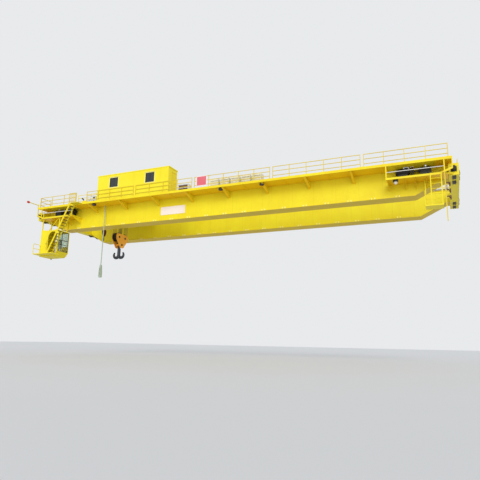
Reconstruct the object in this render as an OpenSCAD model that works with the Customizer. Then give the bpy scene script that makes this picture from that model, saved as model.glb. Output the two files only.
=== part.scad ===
// Double girder overhead travelling crane with electric room, cab and two hoists.
// X runs along the span, Z is up, and the electric room stands on the -Y side.
// The origin is mid span, midway between the girders, level with the runway rail tops.

/* [Girders] */
// Distance between the centre lines of the runway rails
span = 36000; // [33000:250:37000]
// Distance between the centre planes of the two girders
girder_pitch = 5860; // [5700:20:6200]
// Height of the girder top above the runway rails
girder_top = 1160; // [1120:10:1300]
// Depth of a girder at mid span
girder_h = 1960; // [1700:20:2200]
// Depth of a girder where it meets the end carriage
girder_end_h = 980; // [900:10:1040]
// Width over the two webs of a girder
girder_web_w = 1080; // [980:10:1140]
// Width of the girder flanges
flange_w = 1240; // [1180:10:1300]
// Thickness of the girder flanges
flange_t = 24; // [16:1:40]
// Distance from the right runway rail to the bottom knee of a girder
knee_back = 2520; // [2300:20:3000]
// Distance from the right runway rail to the top of the tapered end
taper_back = 550; // [450:10:800]
// Distance from the left runway rail to the bottom knee of a girder
left_knee_back = 1950; // [1850:10:2300]
// Distance from the left runway rail to the top of the tapered end
left_taper_back = 380; // [370:10:500]

/* [End carriages] */
// Width of an end carriage
carriage_w = 640; // [560:10:720]
// Depth of an end carriage
carriage_h = 800; // [700:10:860]
// Distance from the centre plane of a girder to the end of an end carriage
carriage_over = 1420; // [1380:10:1540]
// Gap between the runway rail and the underside of the carriage
carriage_gap = 110; // [90:5:140]
// Tread diameter of the travel wheels
wheel_d = 800; // [700:10:820]
// Tread width of the travel wheels
wheel_tread = 150; // [120:5:170]
// Diameter of the wheel axles
axle_d = 140; // [100:5:180]
// Distance from the end of a carriage to its outer wheel axle
wheel_end = 570; // [530:10:620]
// Distance between the two wheels at one end of a carriage
wheel_pair = 1080; // [960:10:1200]
// Diameter of the end buffers
buffer_d = 260; // [200:10:300]
// Length of the end buffers
buffer_l = 360; // [250:10:400]

/* [Walkways] */
// Width of the walkways, from the girder web to their outer edge
walk_w = 1430; // [1380:10:1600]
// Thickness of the walkway decks
deck_t = 30; // [20:1:50]
// Step from the girder top down to the walkway deck
deck_drop = 30; // [26:1:60]
// Distance from the runway rail back to the end of a walkway
walk_back = 50; // [0:10:150]
// Distance from the runway rail back to the end of the railings
rail_back = 260; // [200:10:400]
// Length from one double post of the railing to the next
section_pitch = 6730; // [6000:10:7000]
// Gap between the two posts of a double post
section_gap = 200; // [120:10:300]
// Distance from the right runway rail to the nearest double post
right_joint_back = 5800; // [5400:20:6200]
// Distance from the left runway rail to the double post before the room
left_joint_back = 11000; // [10600:20:11400]
// Width of the gap in the near railing at the stair
gate_w = 1190; // [960:10:1300]
// Distance from the left runway rail to the left flood lamp
left_lamp_back = 6500; // [6200:20:6800]
// Distance from the right runway rail to the right flood lamp
right_lamp_back = 3650; // [3500:10:3750]
// Distance from mid span to the middle flood lamp
mid_lamp_x = 1130; // [1000:10:1140]
// Depth of the edge channels of the walkways
edge_h = 90; // [60:5:120]
// Height of the toe boards
toe_h = 100; // [80:5:150]
// Height of the railings
rail_h = 1050; // [1000:10:1200]
// Width of the square railing bars
rail_bar = 40; // [30:1:50]
// Distance between the railing posts
post_pitch = 1300; // [1000:20:1600]
// Distance between the walkway brackets
bracket_pitch = 3340; // [2600:20:3600]
// Depth of the walkway brackets at the girder web
bracket_h = 560; // [400:10:700]
// Thickness of the walkway brackets
bracket_t = 16; // [10:1:30]
// Width of the flange along the lower edge of a bracket
bracket_flange = 160; // [100:10:200]

/* [Drive platforms] */
// Distance from the runway rail back to the inner end of a drive platform
platform_back = 4260; // [4160:20:4500]
// Height of the drive platform deck above the runway rails
platform_z = 220; // [180:10:240]
// Depth of the drive platform frame
platform_h = 60; // [40:5:80]
// Depth of the edge channel of a drive platform
platform_edge = 140; // [100:5:180]
// Distance from the runway rail back to the bend in that channel
bend_back = 800; // [700:10:900]
// Rise of the channel from the bend to its end
bend_rise = 320; // [200:10:400]
// Length of the open well in the walkway above a drive platform
well_l = 3100; // [2800:20:3200]
// Distance from the inner end of a drive platform to its motor
motor_off = 660; // [600:10:700]
// Distance from the inner end of a drive platform to its brake
brake_off = 1600; // [1560:10:1700]
// Distance from the inner end of a drive platform to its gearbox
gear_off = 2210; // [2100:10:2250]
// Length of the gearbox
gear_l = 650; // [560:10:680]
// Distance from the right runway rail to the ladder
ladder_back = 1470; // [1400:10:1560]
// Distance from the right runway rail to the collector pole
pole_back = 600; // [560:10:640]
// Distance from the runway rails down to the foot of the collector pole
pole_down = 3080; // [2900:20:3200]
// Diameter of the travel drive motor
motor_d = 420; // [350:10:460]
// Length of the travel drive motor
motor_l = 780; // [650:10:820]
// Height of the motor shaft above the runway rails
motor_z = 850; // [800:10:880]

/* [Electric room] */
// Distance from the left runway rail to the middle of the room
room_back_x = 10620; // [10400:20:10800]
// Length of the room
room_l = 7420; // [7000:20:7600]
// Depth of the room from front to back
room_w = 1350; // [1300:10:1380]
// Height of the room
room_h = 2350; // [2250:10:2500]
// Height of the base rails under the room
room_base = 50; // [40:5:80]
// Thickness of the room walls
room_wall = 60; // [40:2:80]
// Width of a room window
window_w = 960; // [800:10:1100]
// Height of a room window
window_h = 920; // [700:10:1000]
// Height of the window sills above the deck
window_sill = 1070; // [900:10:1150]
// Width of the door opening
door_w = 700; // [600:10:760]
// Height of the door opening
door_h = 1900; // [1750:10:1980]
// Clearance round the door leaf
door_gap = 6; // [5:1:12]

/* [Trolley] */
// Distance between the trolley rails
gauge = 4900; // [4780:10:5000]
// Height of the trolley rails
rail_up = 140; // [100:5:160]
// Distance from the left runway rail to the trolley at rest
trolley_back = 5800; // [5400:50:6400]
// Length of the trolley frame
trolley_l = 6200; // [6000:50:6600]
// Depth of the trolley frame beams
frame_h = 500; // [440:10:560]
// Gap between the trolley rails and the frame
frame_gap = 120; // [80:5:140]
// Width of the trolley side beams
side_w = 360; // [300:10:400]
// Diameter of the trolley wheels
roller_d = 500; // [400:10:520]
// Distance between the trolley axles
roller_base = 4600; // [4400:50:4800]
// Diameter of the main rope drum
drum_d = 1000; // [800:20:1100]
// Length of the main rope drum
drum_l = 2400; // [2000:20:2500]
// Diameter of the auxiliary rope drum
aux_drum_d = 500; // [400:10:560]
// Length of the auxiliary rope drum
aux_drum_l = 1100; // [900:20:1200]
// Clearance between the drum flanges and the trolley deck
drum_clear = 30; // [20:5:60]

/* [Hook blocks] */
// Distance from the middle of the trolley to the main hook
main_off = 180; // [100:20:300]
// Distance from the middle of the trolley to the auxiliary hook
aux_off = 1800; // [1700:20:1900]
// Depth of the main sheave shafts below the runway rails
main_shaft_down = 1100; // [1060:20:1400]
// Distance from the middle of the main block to each of its two shafts
shaft_gap = 440; // [430:5:480]
// Outside diameter of the main sheaves
sheave_d = 850; // [760:10:850]
// Width of a main sheave
sheave_w = 84; // [76:2:92]
// Diameter of the main hoist rope
rope_d = 28; // [20:1:32]
// Width of the main block across its plates
block_w = 1740; // [1500:20:1800]
// Thickness of the block plates
plate_t = 40; // [30:2:60]
// Depth of the auxiliary sheave shaft below the runway rails
aux_shaft_down = 320; // [260:20:600]
// Outside diameter of the auxiliary sheave
aux_sheave_d = 520; // [440:10:560]
// Diameter of the auxiliary hoist rope
aux_rope_d = 18; // [14:1:22]

/* [Cab] */
// Distance from the left runway rail to the rear wall of the cab
cab_back = 620; // [560:20:800]
// Length of the cab
cab_l = 2080; // [2000:10:2200]
// Distance from the crane's middle plane to the near side of the cab
cab_side = 4700; // [4600:10:4800]
// Width of the cab
cab_w = 1400; // [1350:10:1700]
// Depth of the underside of the cab below the runway rails
cab_down = 3450; // [3300:10:3600]
// Height of the cab
cab_h = 2400; // [2300:10:2450]
// Width of the doorway of the cab
cab_door_w = 1110; // [900:10:1200]
// Thickness of the cab walls
cab_wall = 50; // [40:2:80]
// Width of the stair down to the cab
stair_w = 600; // [500:10:700]
// Distance from the left runway rail to the head of the stair
stair_top_back = 4440; // [4360:10:4600]
// Distance from the left runway rail to the foot of the stair
stair_foot_back = 2240; // [2100:10:2400]

/* [Hidden] */
$fn = 48;
eps = 1;
web_y_out = girder_pitch / 2 + girder_web_w / 2;
flange_y_out = girder_pitch / 2 + flange_w / 2;
girder_bot = girder_top - girder_h;
girder_end = girder_top - girder_end_h;
rail_x = span / 2;
walk_half = rail_x - walk_back;
rail_half = rail_x - rail_back;
platform_in = rail_x - platform_back;
bend_x = rail_x - bend_back;
room_x = rail_x - room_back_x;
trolley_x = rail_x - trolley_back;
cab_rear = rail_x - cab_back;
carriage_in = rail_x - carriage_w / 2;
carriage_l = girder_pitch + 2 * carriage_over;
wheel_y_out = carriage_l / 2 - wheel_end;
wheel_y_in = wheel_y_out - wheel_pair;
carriage_out = rail_x + carriage_w / 2;
carriage_top = carriage_gap + carriage_h;
wheel_flange = 30;
wheel_slot_gap = 15;
running_gap = 0.3;
walk_y = web_y_out + walk_w;
deck_z = girder_top - deck_drop;
deck_under = deck_z - deck_t;
edge_t = 12;
rail_top = girder_top + rail_up;
frame_z = rail_top + frame_gap;
trolley_deck = frame_z + frame_h;
trolley_deck_t = 12;
drum_lip = 50;
shaft_z = trolley_deck + trolley_deck_t + drum_clear + drum_lip + drum_d / 2;
main_x = -trolley_x + main_off;
aux_x = -trolley_x - aux_off;
groove = 38;
rope_r = rope_d / 2;
fall_r = sheave_d / 2 - groove + rope_r + 0.5;
fall_y = [-shaft_gap - fall_r, fall_r - shaft_gap, shaft_gap - fall_r, shaft_gap + fall_r];
aux_groove = 26;
aux_rope_r = aux_rope_d / 2;
aux_fall_y = aux_sheave_d / 2 - aux_groove + aux_rope_r + 0.5;
sheave_step = 120;
rope_z = frame_z;
equal_z = trolley_deck + trolley_deck_t + 10;
fall_x = [-1.5 * sheave_step, -0.5 * sheave_step, 0.5 * sheave_step, 1.5 * sheave_step];
pack_w = 3 * sheave_step + sheave_w;
plate_in = pack_w / 2 + 24;
main_axle_d = 160;
aux_axle_d = 80;
yellow = [0.93, 0.86, 0.16];
rope_grey = [0.32, 0.32, 0.33];
dark = [0.10, 0.10, 0.11];

// A box given by its lowest and highest corners
module span_box(a, b) {
    translate(a) cube(b - a);
}

// A round bar along X, Y or Z that starts at p
module bar_x(p, d, l) { translate(p) rotate([0, 90, 0]) cylinder(d = d, h = l); }
module bar_y(p, d, l) { translate(p) rotate([-90, 0, 0]) cylinder(d = d, h = l); }
module bar_z(p, d, l) { translate(p) cylinder(d = d, h = l); }

module both_ends() {
    children();
    mirror([1, 0, 0]) children();
}

module both_sides() {
    children();
    mirror([0, 1, 0]) children();
}

// Points of a convex outline with every corner rounded to radius r
function turn(a, b, c) = (b - a)[0] * (c - b)[1] - (b - a)[1] * (c - b)[0];
function corner_arc(a, b, c, r, n) =
    let (u = (a - b) / norm(a - b), v = (c - b) / norm(c - b),
         half = acos(u * v) / 2, m = (u + v) / norm(u + v),
         o = b + m * r / sin(half),
         s = turn(a, b, c) > 0 ? 1 : -1,
         start = atan2(-m[1], -m[0]) - s * (90 - half))
    [for (i = [0:n]) o + r * [cos(start + s * i * (180 - 2 * half) / n),
        sin(start + s * i * (180 - 2 * half) / n)]];
function rounded(p, r, n = 5) =
    let (k = len(p))
    [for (i = [0:k - 1]) each corner_arc(p[(i + k - 1) % k], p[i], p[(i + 1) % k], r, n)];

// A tube or a tapering bar swept along points that lie in a plane with normal side
module swept(points, radii, side, sides = 12) {
    last = len(points) - 1;
    rings = [for (i = [0:last])
        let (t = points[min(i + 1, last)] - points[max(i - 1, 0)],
             across = cross(side, t / norm(t)))
        for (j = [0:sides - 1])
            points[i] + radii[i] * (side * cos(360 * j / sides) + across * sin(360 * j / sides))];
    walls = [for (i = [0:last - 1], j = [0:sides - 1])
        let (k = (j + 1) % sides)
        [i * sides + j, i * sides + k, (i + 1) * sides + k, (i + 1) * sides + j]];
    first_cap = [for (j = [sides - 1:-1:0]) j];
    last_cap = [for (j = [0:sides - 1]) last * sides + j];
    polyhedron(rings, concat([first_cap], walls, [last_cap]));
}

// Knee and end of the taper at the right and left ends, both measured from mid span
right_taper = [rail_x - knee_back, rail_x - taper_back];
left_taper = [rail_x - left_knee_back, rail_x - left_taper_back];

// Height of the girder underside at a distance x from mid span
function underside(x, taper) = girder_bot + (girder_end - girder_bot)
    * max(0, min(1, (x - taper[0]) / (taper[1] - taper[0])));

// One half of a girder: a web box between two wider flanges
module half_girder(taper) {
    translate([0, girder_web_w / 2, 0]) rotate([90, 0, 0]) linear_extrude(girder_web_w)
        polygon([[0, girder_bot + flange_t], [taper[0], girder_bot + flange_t],
            [taper[1], girder_end + flange_t], [carriage_in, girder_end + flange_t],
            [carriage_in, carriage_top], [carriage_out, carriage_top],
            [carriage_out, girder_top - flange_t], [0, girder_top - flange_t]]);
    translate([0, flange_w / 2, 0]) rotate([90, 0, 0]) linear_extrude(flange_w) {
        polygon([[0, girder_bot], [taper[0], girder_bot], [taper[1], girder_end],
            [carriage_in, girder_end], [carriage_in, girder_end + flange_t],
            [taper[1], girder_end + flange_t], [taper[0], girder_bot + flange_t],
            [0, girder_bot + flange_t]]);
        polygon([[0, girder_top - flange_t], [carriage_out, girder_top - flange_t],
            [carriage_out, girder_top], [0, girder_top]]);
    }
}

module girder() {
    half_girder(right_taper);
    mirror([1, 0, 0]) half_girder(left_taper);
}

module near_girder() {
    color(yellow) translate([0, -girder_pitch / 2, 0]) girder();
}

module far_girder() {
    color(yellow) translate([0, girder_pitch / 2, 0]) girder();
}

// Rail section with foot, web and head, and a stop block at each end
rail_end = carriage_in - 80;
stop_l = 200;
module trolley_rails() {
    foot_w = 120;
    web_w = 40;
    head_w = 80;
    foot_h = 20;
    head_h = 40;
    color([0.45, 0.42, 0.38])
        both_sides() translate([-rail_end, -gauge / 2, girder_top])
        rotate([90, 0, 90]) linear_extrude(2 * rail_end)
        polygon([[-foot_w / 2, 0], [foot_w / 2, 0], [foot_w / 2, foot_h],
            [web_w / 2, 2 * foot_h], [web_w / 2, rail_up - head_h],
            [head_w / 2, rail_up - head_h], [head_w / 2, rail_up],
            [-head_w / 2, rail_up], [-head_w / 2, rail_up - head_h],
            [-web_w / 2, rail_up - head_h], [-web_w / 2, 2 * foot_h],
            [-foot_w / 2, foot_h]]);
    color(yellow) both_sides() both_ends()
        span_box([rail_end - stop_l, -gauge / 2 - 90, rail_top],
            [rail_end, -gauge / 2 + 90, rail_top + 380]);
}

module carriage() {
    slot_w = wheel_tread + 2 * wheel_flange + 2 * wheel_slot_gap;
    slot_l = wheel_d + 2 * wheel_flange + 2 * wheel_slot_gap;
    slot_top = wheel_d + wheel_flange + wheel_slot_gap;
    difference() {
        span_box([carriage_in, -carriage_l / 2, carriage_gap],
            [carriage_out, carriage_l / 2, carriage_top]);
        for (y = [-wheel_y_out, -wheel_y_in, wheel_y_in, wheel_y_out]) {
            span_box([rail_x - slot_w / 2, y - slot_l / 2, carriage_gap - eps],
                [rail_x + slot_w / 2, y + slot_l / 2, slot_top]);
            bar_x([carriage_in - eps, y, wheel_d / 2], axle_d + 2 * running_gap,
                carriage_w + 2 * eps);
        }
    }
}

module left_end_carriage() {
    color(yellow) mirror([1, 0, 0]) carriage();
}

module right_end_carriage() {
    color(yellow) carriage();
}

// Double flanged wheel with its axle
module travel_wheels() {
    wide = wheel_tread + 2 * wheel_flange;
    color([0.35, 0.33, 0.31]) both_ends()
        for (y = [-wheel_y_out, -wheel_y_in, wheel_y_in, wheel_y_out])
        translate([rail_x, y, wheel_d / 2]) rotate([0, 90, 0]) {
            cylinder(d = wheel_d, h = wide, center = true);
            for (s = [-1, 1]) translate([0, 0, s * (wide - wheel_flange) / 2])
                cylinder(d = wheel_d + 2 * wheel_flange, h = wheel_flange, center = true);
            cylinder(d = axle_d, h = carriage_w - 20, center = true);
        }
}

module end_buffers() {
    z = carriage_gap + carriage_h / 2;
    back = 40;
    color([0.13, 0.12, 0.12]) both_ends() both_sides() {
        span_box([rail_x - buffer_d * 0.7, -carriage_l / 2 - back, z - buffer_d * 0.7],
            [rail_x + buffer_d * 0.7, -carriage_l / 2, z + buffer_d * 0.7]);
        bar_y([rail_x, -carriage_l / 2 - back - buffer_l, z], buffer_d, buffer_l);
    }
}

// Walkway deck with edge channel, toe board and triangular flanged brackets
module walkway(half, brackets, ribs, wells) {
    edge_top = deck_z + 20;
    foot = -walk_y + 5 * edge_t;
    tip = deck_under - edge_h / 2 - 20;
    root = deck_under - bracket_h;
    difference() {
        span_box([-half, -walk_y + edge_t, deck_under], [half, -web_y_out, deck_z]);
        for (x = wells) span_box([x[0], foot + 60, deck_under - eps], [x[1], -web_y_out + eps, deck_z + eps]);
    }
    span_box([-half, -walk_y, edge_top - edge_h], [half, -walk_y + edge_t, edge_top + toe_h]);
    span_box([-half, -walk_y + edge_t, edge_top - edge_h],
        [half, -walk_y + 5 * edge_t, edge_top - edge_h + edge_t]);
    for (x = brackets) {
        translate([x - bracket_t / 2, 0, 0]) rotate([90, 0, 90]) linear_extrude(bracket_t)
            polygon([[-web_y_out, deck_under], [-web_y_out, root], [foot, tip], [foot, deck_under]]);
        translate([x - bracket_flange / 2, 0, 0]) rotate([90, 0, 90]) linear_extrude(bracket_flange)
            polygon([[-web_y_out, root], [-web_y_out, root - 14], [foot, tip - 14], [foot, tip]]);
    }
    for (x = ribs) span_box([x - 30, foot, deck_under - 60], [x + 30, -web_y_out, deck_under]);
}

bracket_count = floor((2 * platform_in - 1600) / bracket_pitch) + 1;
bracket_start = -bracket_pitch * (bracket_count - 1) / 2;
well_in = platform_in + 60;
well_out = well_in + well_l;
module near_walkway() {
    places = [for (i = [0:bracket_count - 1]) bracket_start + i * bracket_pitch - 300];
    color(yellow) walkway(walk_half, places,
        concat([for (i = [0:bracket_count - 2]) places[i] + bracket_pitch / 2],
            [well_in - 30, well_out + 30, -well_in + 30, -well_out - 30]),
        [[well_in, well_out], [-well_out, -well_in]]);
    // gland of the hanging control cable
    color(dark) bar_z([cable_x, cable_y, deck_under - gland_l], 110, gland_l);
}

module far_walkway() {
    count = floor(2 * (walk_half - 600) / bracket_pitch) + 1;
    first = -bracket_pitch * (count - 1) / 2;
    places = [for (i = [0:count - 1]) first + i * bracket_pitch];
    color(yellow) mirror([0, 1, 0]) walkway(walk_half, places,
        [for (i = [0:count - 2]) places[i] + bracket_pitch / 2], []);
}

// A straight railing along X from a to b, with its bars centred on y
module railing_x(a, b, y, z, h, pitch) {
    n = max(1, round((b - a) / pitch));
    step = (b - a - rail_bar) / n;
    for (i = [0:n]) span_box([a + i * step, y - rail_bar / 2, z],
        [a + i * step + rail_bar, y + rail_bar / 2, z + h]);
    for (k = [1 / 3, 2 / 3, 1]) span_box([a, y - rail_bar / 2, z + k * h - rail_bar],
        [b, y + rail_bar / 2, z + k * h]);
}

// The same along Y, with its bars centred on x
module railing_y(a, b, x, z, h, pitch) {
    n = max(1, round((b - a) / pitch));
    step = (b - a - rail_bar) / n;
    for (i = [0:n]) span_box([x - rail_bar / 2, a + i * step, z],
        [x + rail_bar / 2, a + i * step + rail_bar, z + h]);
    for (k = [1 / 3, 2 / 3, 1]) span_box([x - rail_bar / 2, a, z + k * h - rail_bar],
        [x + rail_bar / 2, b, z + k * h]);
}

rail_y = walk_y - edge_t - rail_bar / 2 - 2;
stair_top_x = -rail_x + stair_top_back;
gate_a = stair_top_x + 170;
gate_b = gate_a + gate_w;
last_joint = rail_x - right_joint_back;
rail_joints = [-rail_x + left_joint_back, last_joint - 2 * section_pitch, last_joint - section_pitch, last_joint];
module near_railing() {
    ends = concat([gate_b - section_gap / 2], rail_joints, [rail_half - 20 + section_gap / 2]);
    color(yellow) {
        railing_x(-rail_half + 20, gate_a, -rail_y, deck_z, rail_h, post_pitch);
        for (i = [0:len(ends) - 2])
            railing_x(ends[i] + section_gap / 2, ends[i + 1] - section_gap / 2, -rail_y, deck_z,
                rail_h, post_pitch);
    }
}

module far_railing() {
    count = round(2 * rail_half / section_pitch);
    step = (2 * rail_half - 40 + section_gap) / count;
    color(yellow) for (i = [0:count - 1])
        railing_x(-rail_half + 20 + i * step, -rail_half + 20 + (i + 1) * step - section_gap,
            rail_y, deck_z, rail_h, post_pitch);
}

// Railings that close the ends of the walkways and stand over the end carriages
module end_railings() {
    color(yellow) both_ends() both_sides()
        railing_y(-rail_y + rail_bar / 2 + 2, -flange_y_out - 60, rail_half - rail_bar / 2 - 4,
            deck_z, rail_h, post_pitch);
    color(yellow) both_ends()
        railing_y(-girder_pitch / 2 + flange_w / 2 + 60, girder_pitch / 2 - flange_w / 2 - 60,
            carriage_out - rail_bar / 2, carriage_top, rail_h, post_pitch);
}

// Lower deck beside the girder end, with the motor drive open to view
post_x = rail_x - 600;
module drive_platform(taper) {
    low = platform_z - platform_edge;
    under = platform_z - platform_h;
    notch_x = taper[0] + (taper[1] - taper[0])
        * (under - 2 * flange_t - girder_bot) / (girder_end - girder_bot);
    lip = 40;
    deck = [[platform_in, -web_y_out], [platform_in, -walk_y + lip], [bend_x, -walk_y + lip],
        [walk_half, -carriage_l / 2 - 110], [walk_half, -carriage_l / 2 - 50],
        [carriage_in - 20, -carriage_l / 2 - 50], [carriage_in - 20, -flange_y_out],
        [notch_x, -flange_y_out], [notch_x, -web_y_out]];
    translate([0, 0, under]) linear_extrude(platform_h) polygon(deck);
    // edge channel, bent up at its outer end
    translate([0, -walk_y + lip, 0]) rotate([90, 0, 0]) linear_extrude(lip)
        polygon([[platform_in, low], [bend_x, low], [walk_half, low + bend_rise],
            [walk_half, platform_z + bend_rise], [bend_x, platform_z], [platform_in, platform_z]]);
    for (x = [platform_in, post_x])
        span_box([x, -walk_y, platform_z], [x + 80, -walk_y + 60, deck_under - edge_h + 50]);
    span_box([walk_half - 60, -walk_y, low + bend_rise], [walk_half, -walk_y + 60,
        deck_under - edge_h + 50]);
    for (x = [platform_in + 100, platform_in + 1200, platform_in + 1850, platform_in + 2540]) {
        h = min(bracket_h * 0.9, under - underside(x + bracket_t, taper) - 60);
        translate([x, 0, 0]) rotate([90, 0, 90]) linear_extrude(bracket_t)
            polygon([[-web_y_out, under], [-web_y_out, under - h], [-web_y_out - 1150, under - 60],
                [-web_y_out - 1150, under]]);
    }
}

module left_drive_platform() {
    color(yellow) mirror([1, 0, 0]) drive_platform(left_taper);
}

module right_drive_platform() {
    color(yellow) drive_platform(right_taper);
}

// Pale guard pipe between the posts of each drive platform
module guard_pipes() {
    color([0.85, 0.85, 0.82]) both_ends()
        bar_x([platform_in + 80, -walk_y + 30, (platform_z + deck_under) / 2 - 40], 50,
            post_x - platform_in - 80);
}

// Motor, drum brake, upright gearbox and shaft that drive the outer wheel
drive_y = -wheel_y_out;
module travel_drive() {
    z = motor_z;
    base = platform_z + 60;
    motor_in = platform_in + motor_off;
    motor_out = motor_in + motor_l;
    brake_in = platform_in + brake_off;
    gear_in = platform_in + gear_off;
    gear_out = gear_in + gear_l;
    span_box([motor_in - 40, drive_y - 250, platform_z], [gear_out + 40, drive_y + 210, base]);
    // motor on its stool, with end bells and a terminal box
    span_box([motor_in + 80, drive_y - 170, base], [motor_out - 80, drive_y + 170, z - motor_d * 0.3]);
    bar_x([motor_in, drive_y, z], motor_d, motor_l);
    bar_x([motor_in - 70, drive_y, z], motor_d * 0.84, 70);
    bar_x([motor_out, drive_y, z], motor_d * 0.6, 60);
    span_box([motor_out - 280, drive_y - 110, z + motor_d * 0.3],
        [motor_out - 40, drive_y + 110, z + motor_d / 2 + 110]);
    // drum brake with two upright arms and a tie rod over the drum
    bar_x([motor_out + 60, drive_y, z], 90, gear_in - motor_out - 60);
    bar_x([brake_in, drive_y, z], 320, 150);
    span_box([brake_in, drive_y - 215, base], [brake_in + 150, drive_y + 200, base + 90]);
    for (y = [-215, 160]) span_box([brake_in + 35, drive_y + y, base + 90],
        [brake_in + 115, drive_y + y + 55, z + 230]);
    bar_y([brake_in + 75, drive_y - 215, z + 200], 40, 430);
    // gearbox with a round head, a split flange and its output shaft
    translate([gear_in, drive_y, 0]) rotate([90, 0, 90]) linear_extrude(gear_out - gear_in) {
        translate([0, z]) circle(d = 440);
        translate([-220, base]) square([440, z - base]);
    }
    span_box([gear_in - 20, drive_y - 250, z - 130], [gear_out + 20, drive_y + 240, z - 95]);
    bar_x([gear_in - 130, drive_y, z], 230, 130);
    bar_x([gear_out, drive_y, wheel_d / 2], 120, carriage_in - gear_out);
    bar_x([gear_out + 420, drive_y, wheel_d / 2], 250, 220);
}

module left_travel_drive() {
    color(dark) mirror([1, 0, 0]) travel_drive();
}

module right_travel_drive() {
    color(dark) travel_drive();
}

// The electric room is a hollow sheet metal house with two windows and a door
room_front = -walk_y + edge_t + rail_bar + 34;
room_back = room_front + room_w;
room_a = -room_x - room_l / 2;
room_b = -room_x + room_l / 2;
room_z = deck_z + room_base;
room_floor = room_z + 40;
room_top = room_z + room_h;
window_x = [room_a + 1780, room_b - 1860];
door_y = room_front + 420;
roof_t = 60;
door_z = room_floor + 30;
hinge_x = room_b + 12;
hinge_y = door_y + door_gap + 10;
hinge_d = 22;
hinge_at = [260, door_h - 420];
hinge_h = 110;
module room_walls() {
    color(yellow) difference() {
        union() {
            span_box([room_a, room_front, room_z], [room_b, room_back, room_top - roof_t]);
            for (y = [room_front + 60, -flange_y_out - 160])
                span_box([room_a + 60, y, deck_z], [room_b - 60, y + 100, room_z]);
        }
        span_box([room_a + room_wall, room_front + room_wall, room_floor],
            [room_b - room_wall, room_back - room_wall, room_top]);
        for (x = window_x) span_box([x - window_w / 2, room_front - eps, room_floor + window_sill],
            [x + window_w / 2, room_front + room_wall + eps, room_floor + window_sill + window_h]);
        span_box([room_b - room_wall - eps, door_y, door_z], [room_b + eps, door_y + door_w, door_z + door_h]);
    }
    // fixed hinge leaves above and below each knuckle of the door
    color(yellow) for (z = hinge_at, up = [-60 - running_gap, hinge_h + running_gap]) {
        bar_z([hinge_x, hinge_y, door_z + z + up], hinge_d, 60);
        span_box([room_b, door_y - 50, door_z + z + up], [hinge_x, hinge_y, door_z + z + up + 60]);
    }
}

module room_roof() {
    over = 30;
    color(yellow) span_box([room_a - over, room_front - 10, room_top - roof_t],
        [room_b + over, room_back + over, room_top]);
}

// Each window is a frame that fills its opening, with the pane set back
module room_windows() {
    bar = 50;
    color([0.16, 0.18, 0.18]) for (x = window_x) translate([x, room_front, room_floor + window_sill]) {
        difference() {
            span_box([-window_w / 2, 0, 0], [window_w / 2, room_wall, window_h]);
            span_box([-window_w / 2 + bar, -eps, bar],
                [window_w / 2 - bar, room_wall + eps, window_h - bar]);
        }
        span_box([-window_w / 2 + bar, room_wall / 2, bar],
            [window_w / 2 - bar, room_wall / 2 + 8, window_h - bar]);
    }
}

// The door leaf hangs on the near side of its opening and opens outwards
door_leaf = 40;
module room_door() {
    color(yellow) {
        span_box([room_b - door_leaf, door_y + door_gap, door_z + door_gap],
            [room_b, door_y + door_w - door_gap, door_z + door_h - door_gap]);
        for (z = hinge_at) {
            bar_z([hinge_x, hinge_y, door_z + z], hinge_d, hinge_h);
            span_box([room_b, hinge_y, door_z + z], [hinge_x, hinge_y + 50, door_z + z + hinge_h]);
        }
    }
    color(dark) span_box([room_b, door_y + door_w - 130, door_z + 1060],
        [room_b + 45, door_y + door_w - 70, door_z + 1220]);
}

// Resistor boxes in a row along the walkway, each with end plates and louvred sides
box_l = 720;
box_pitch = 915;
box_start = 180;
module resistor_boxes() {
    wide = 620;
    high = 760;
    front = -walk_y + 260;
    foot = 60;
    color([0.90, 0.88, 0.78]) for (i = [0:4]) translate([box_start + i * box_pitch, front, deck_z]) {
        span_box([40, 30, foot], [box_l - 40, wide - 30, high]);
        for (x = [0, box_l - 40]) span_box([x, 0, 0], [x + 40, wide, high]);
        for (k = [1:5]) span_box([40, 12, foot + k * 110], [box_l - 40, 30, foot + k * 110 + 50]);
    }
}

module control_box() {
    frame = 60;
    a = [room_b + 900, -walk_y + 200, deck_z];
    color([0.9, 0.9, 0.88]) translate(a) difference() {
        cube([980, 520, 640]);
        translate([frame, -eps, frame]) cube([980 - 2 * frame, 60, 640 - 2 * frame]);
    }
}

module air_conditioner() {
    a = [room_a - 1180, -walk_y + 200, deck_z];
    color([0.86, 0.86, 0.87]) translate(a) {
        cube([860, 420, 620]);
        translate([860, 60, 90]) cube([90, 300, 460]);
    }
}

// Flood lamps on short hangers under the walkway
lamp_x = [-rail_x + left_lamp_back, mid_lamp_x, rail_x - right_lamp_back];
module flood_lamps() {
    color(dark) for (x = lamp_x) {
        z = x > platform_in || x < -platform_in ? platform_z - platform_h : deck_under;
        translate([x, -walk_y + 300, z]) {
            span_box([-15, -15, -120], [15, 15, 0]);
            translate([0, 0, -120]) rotate([0, 180, 0]) cylinder(d1 = 220, d2 = 300, h = 180);
        }
    }
}

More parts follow.
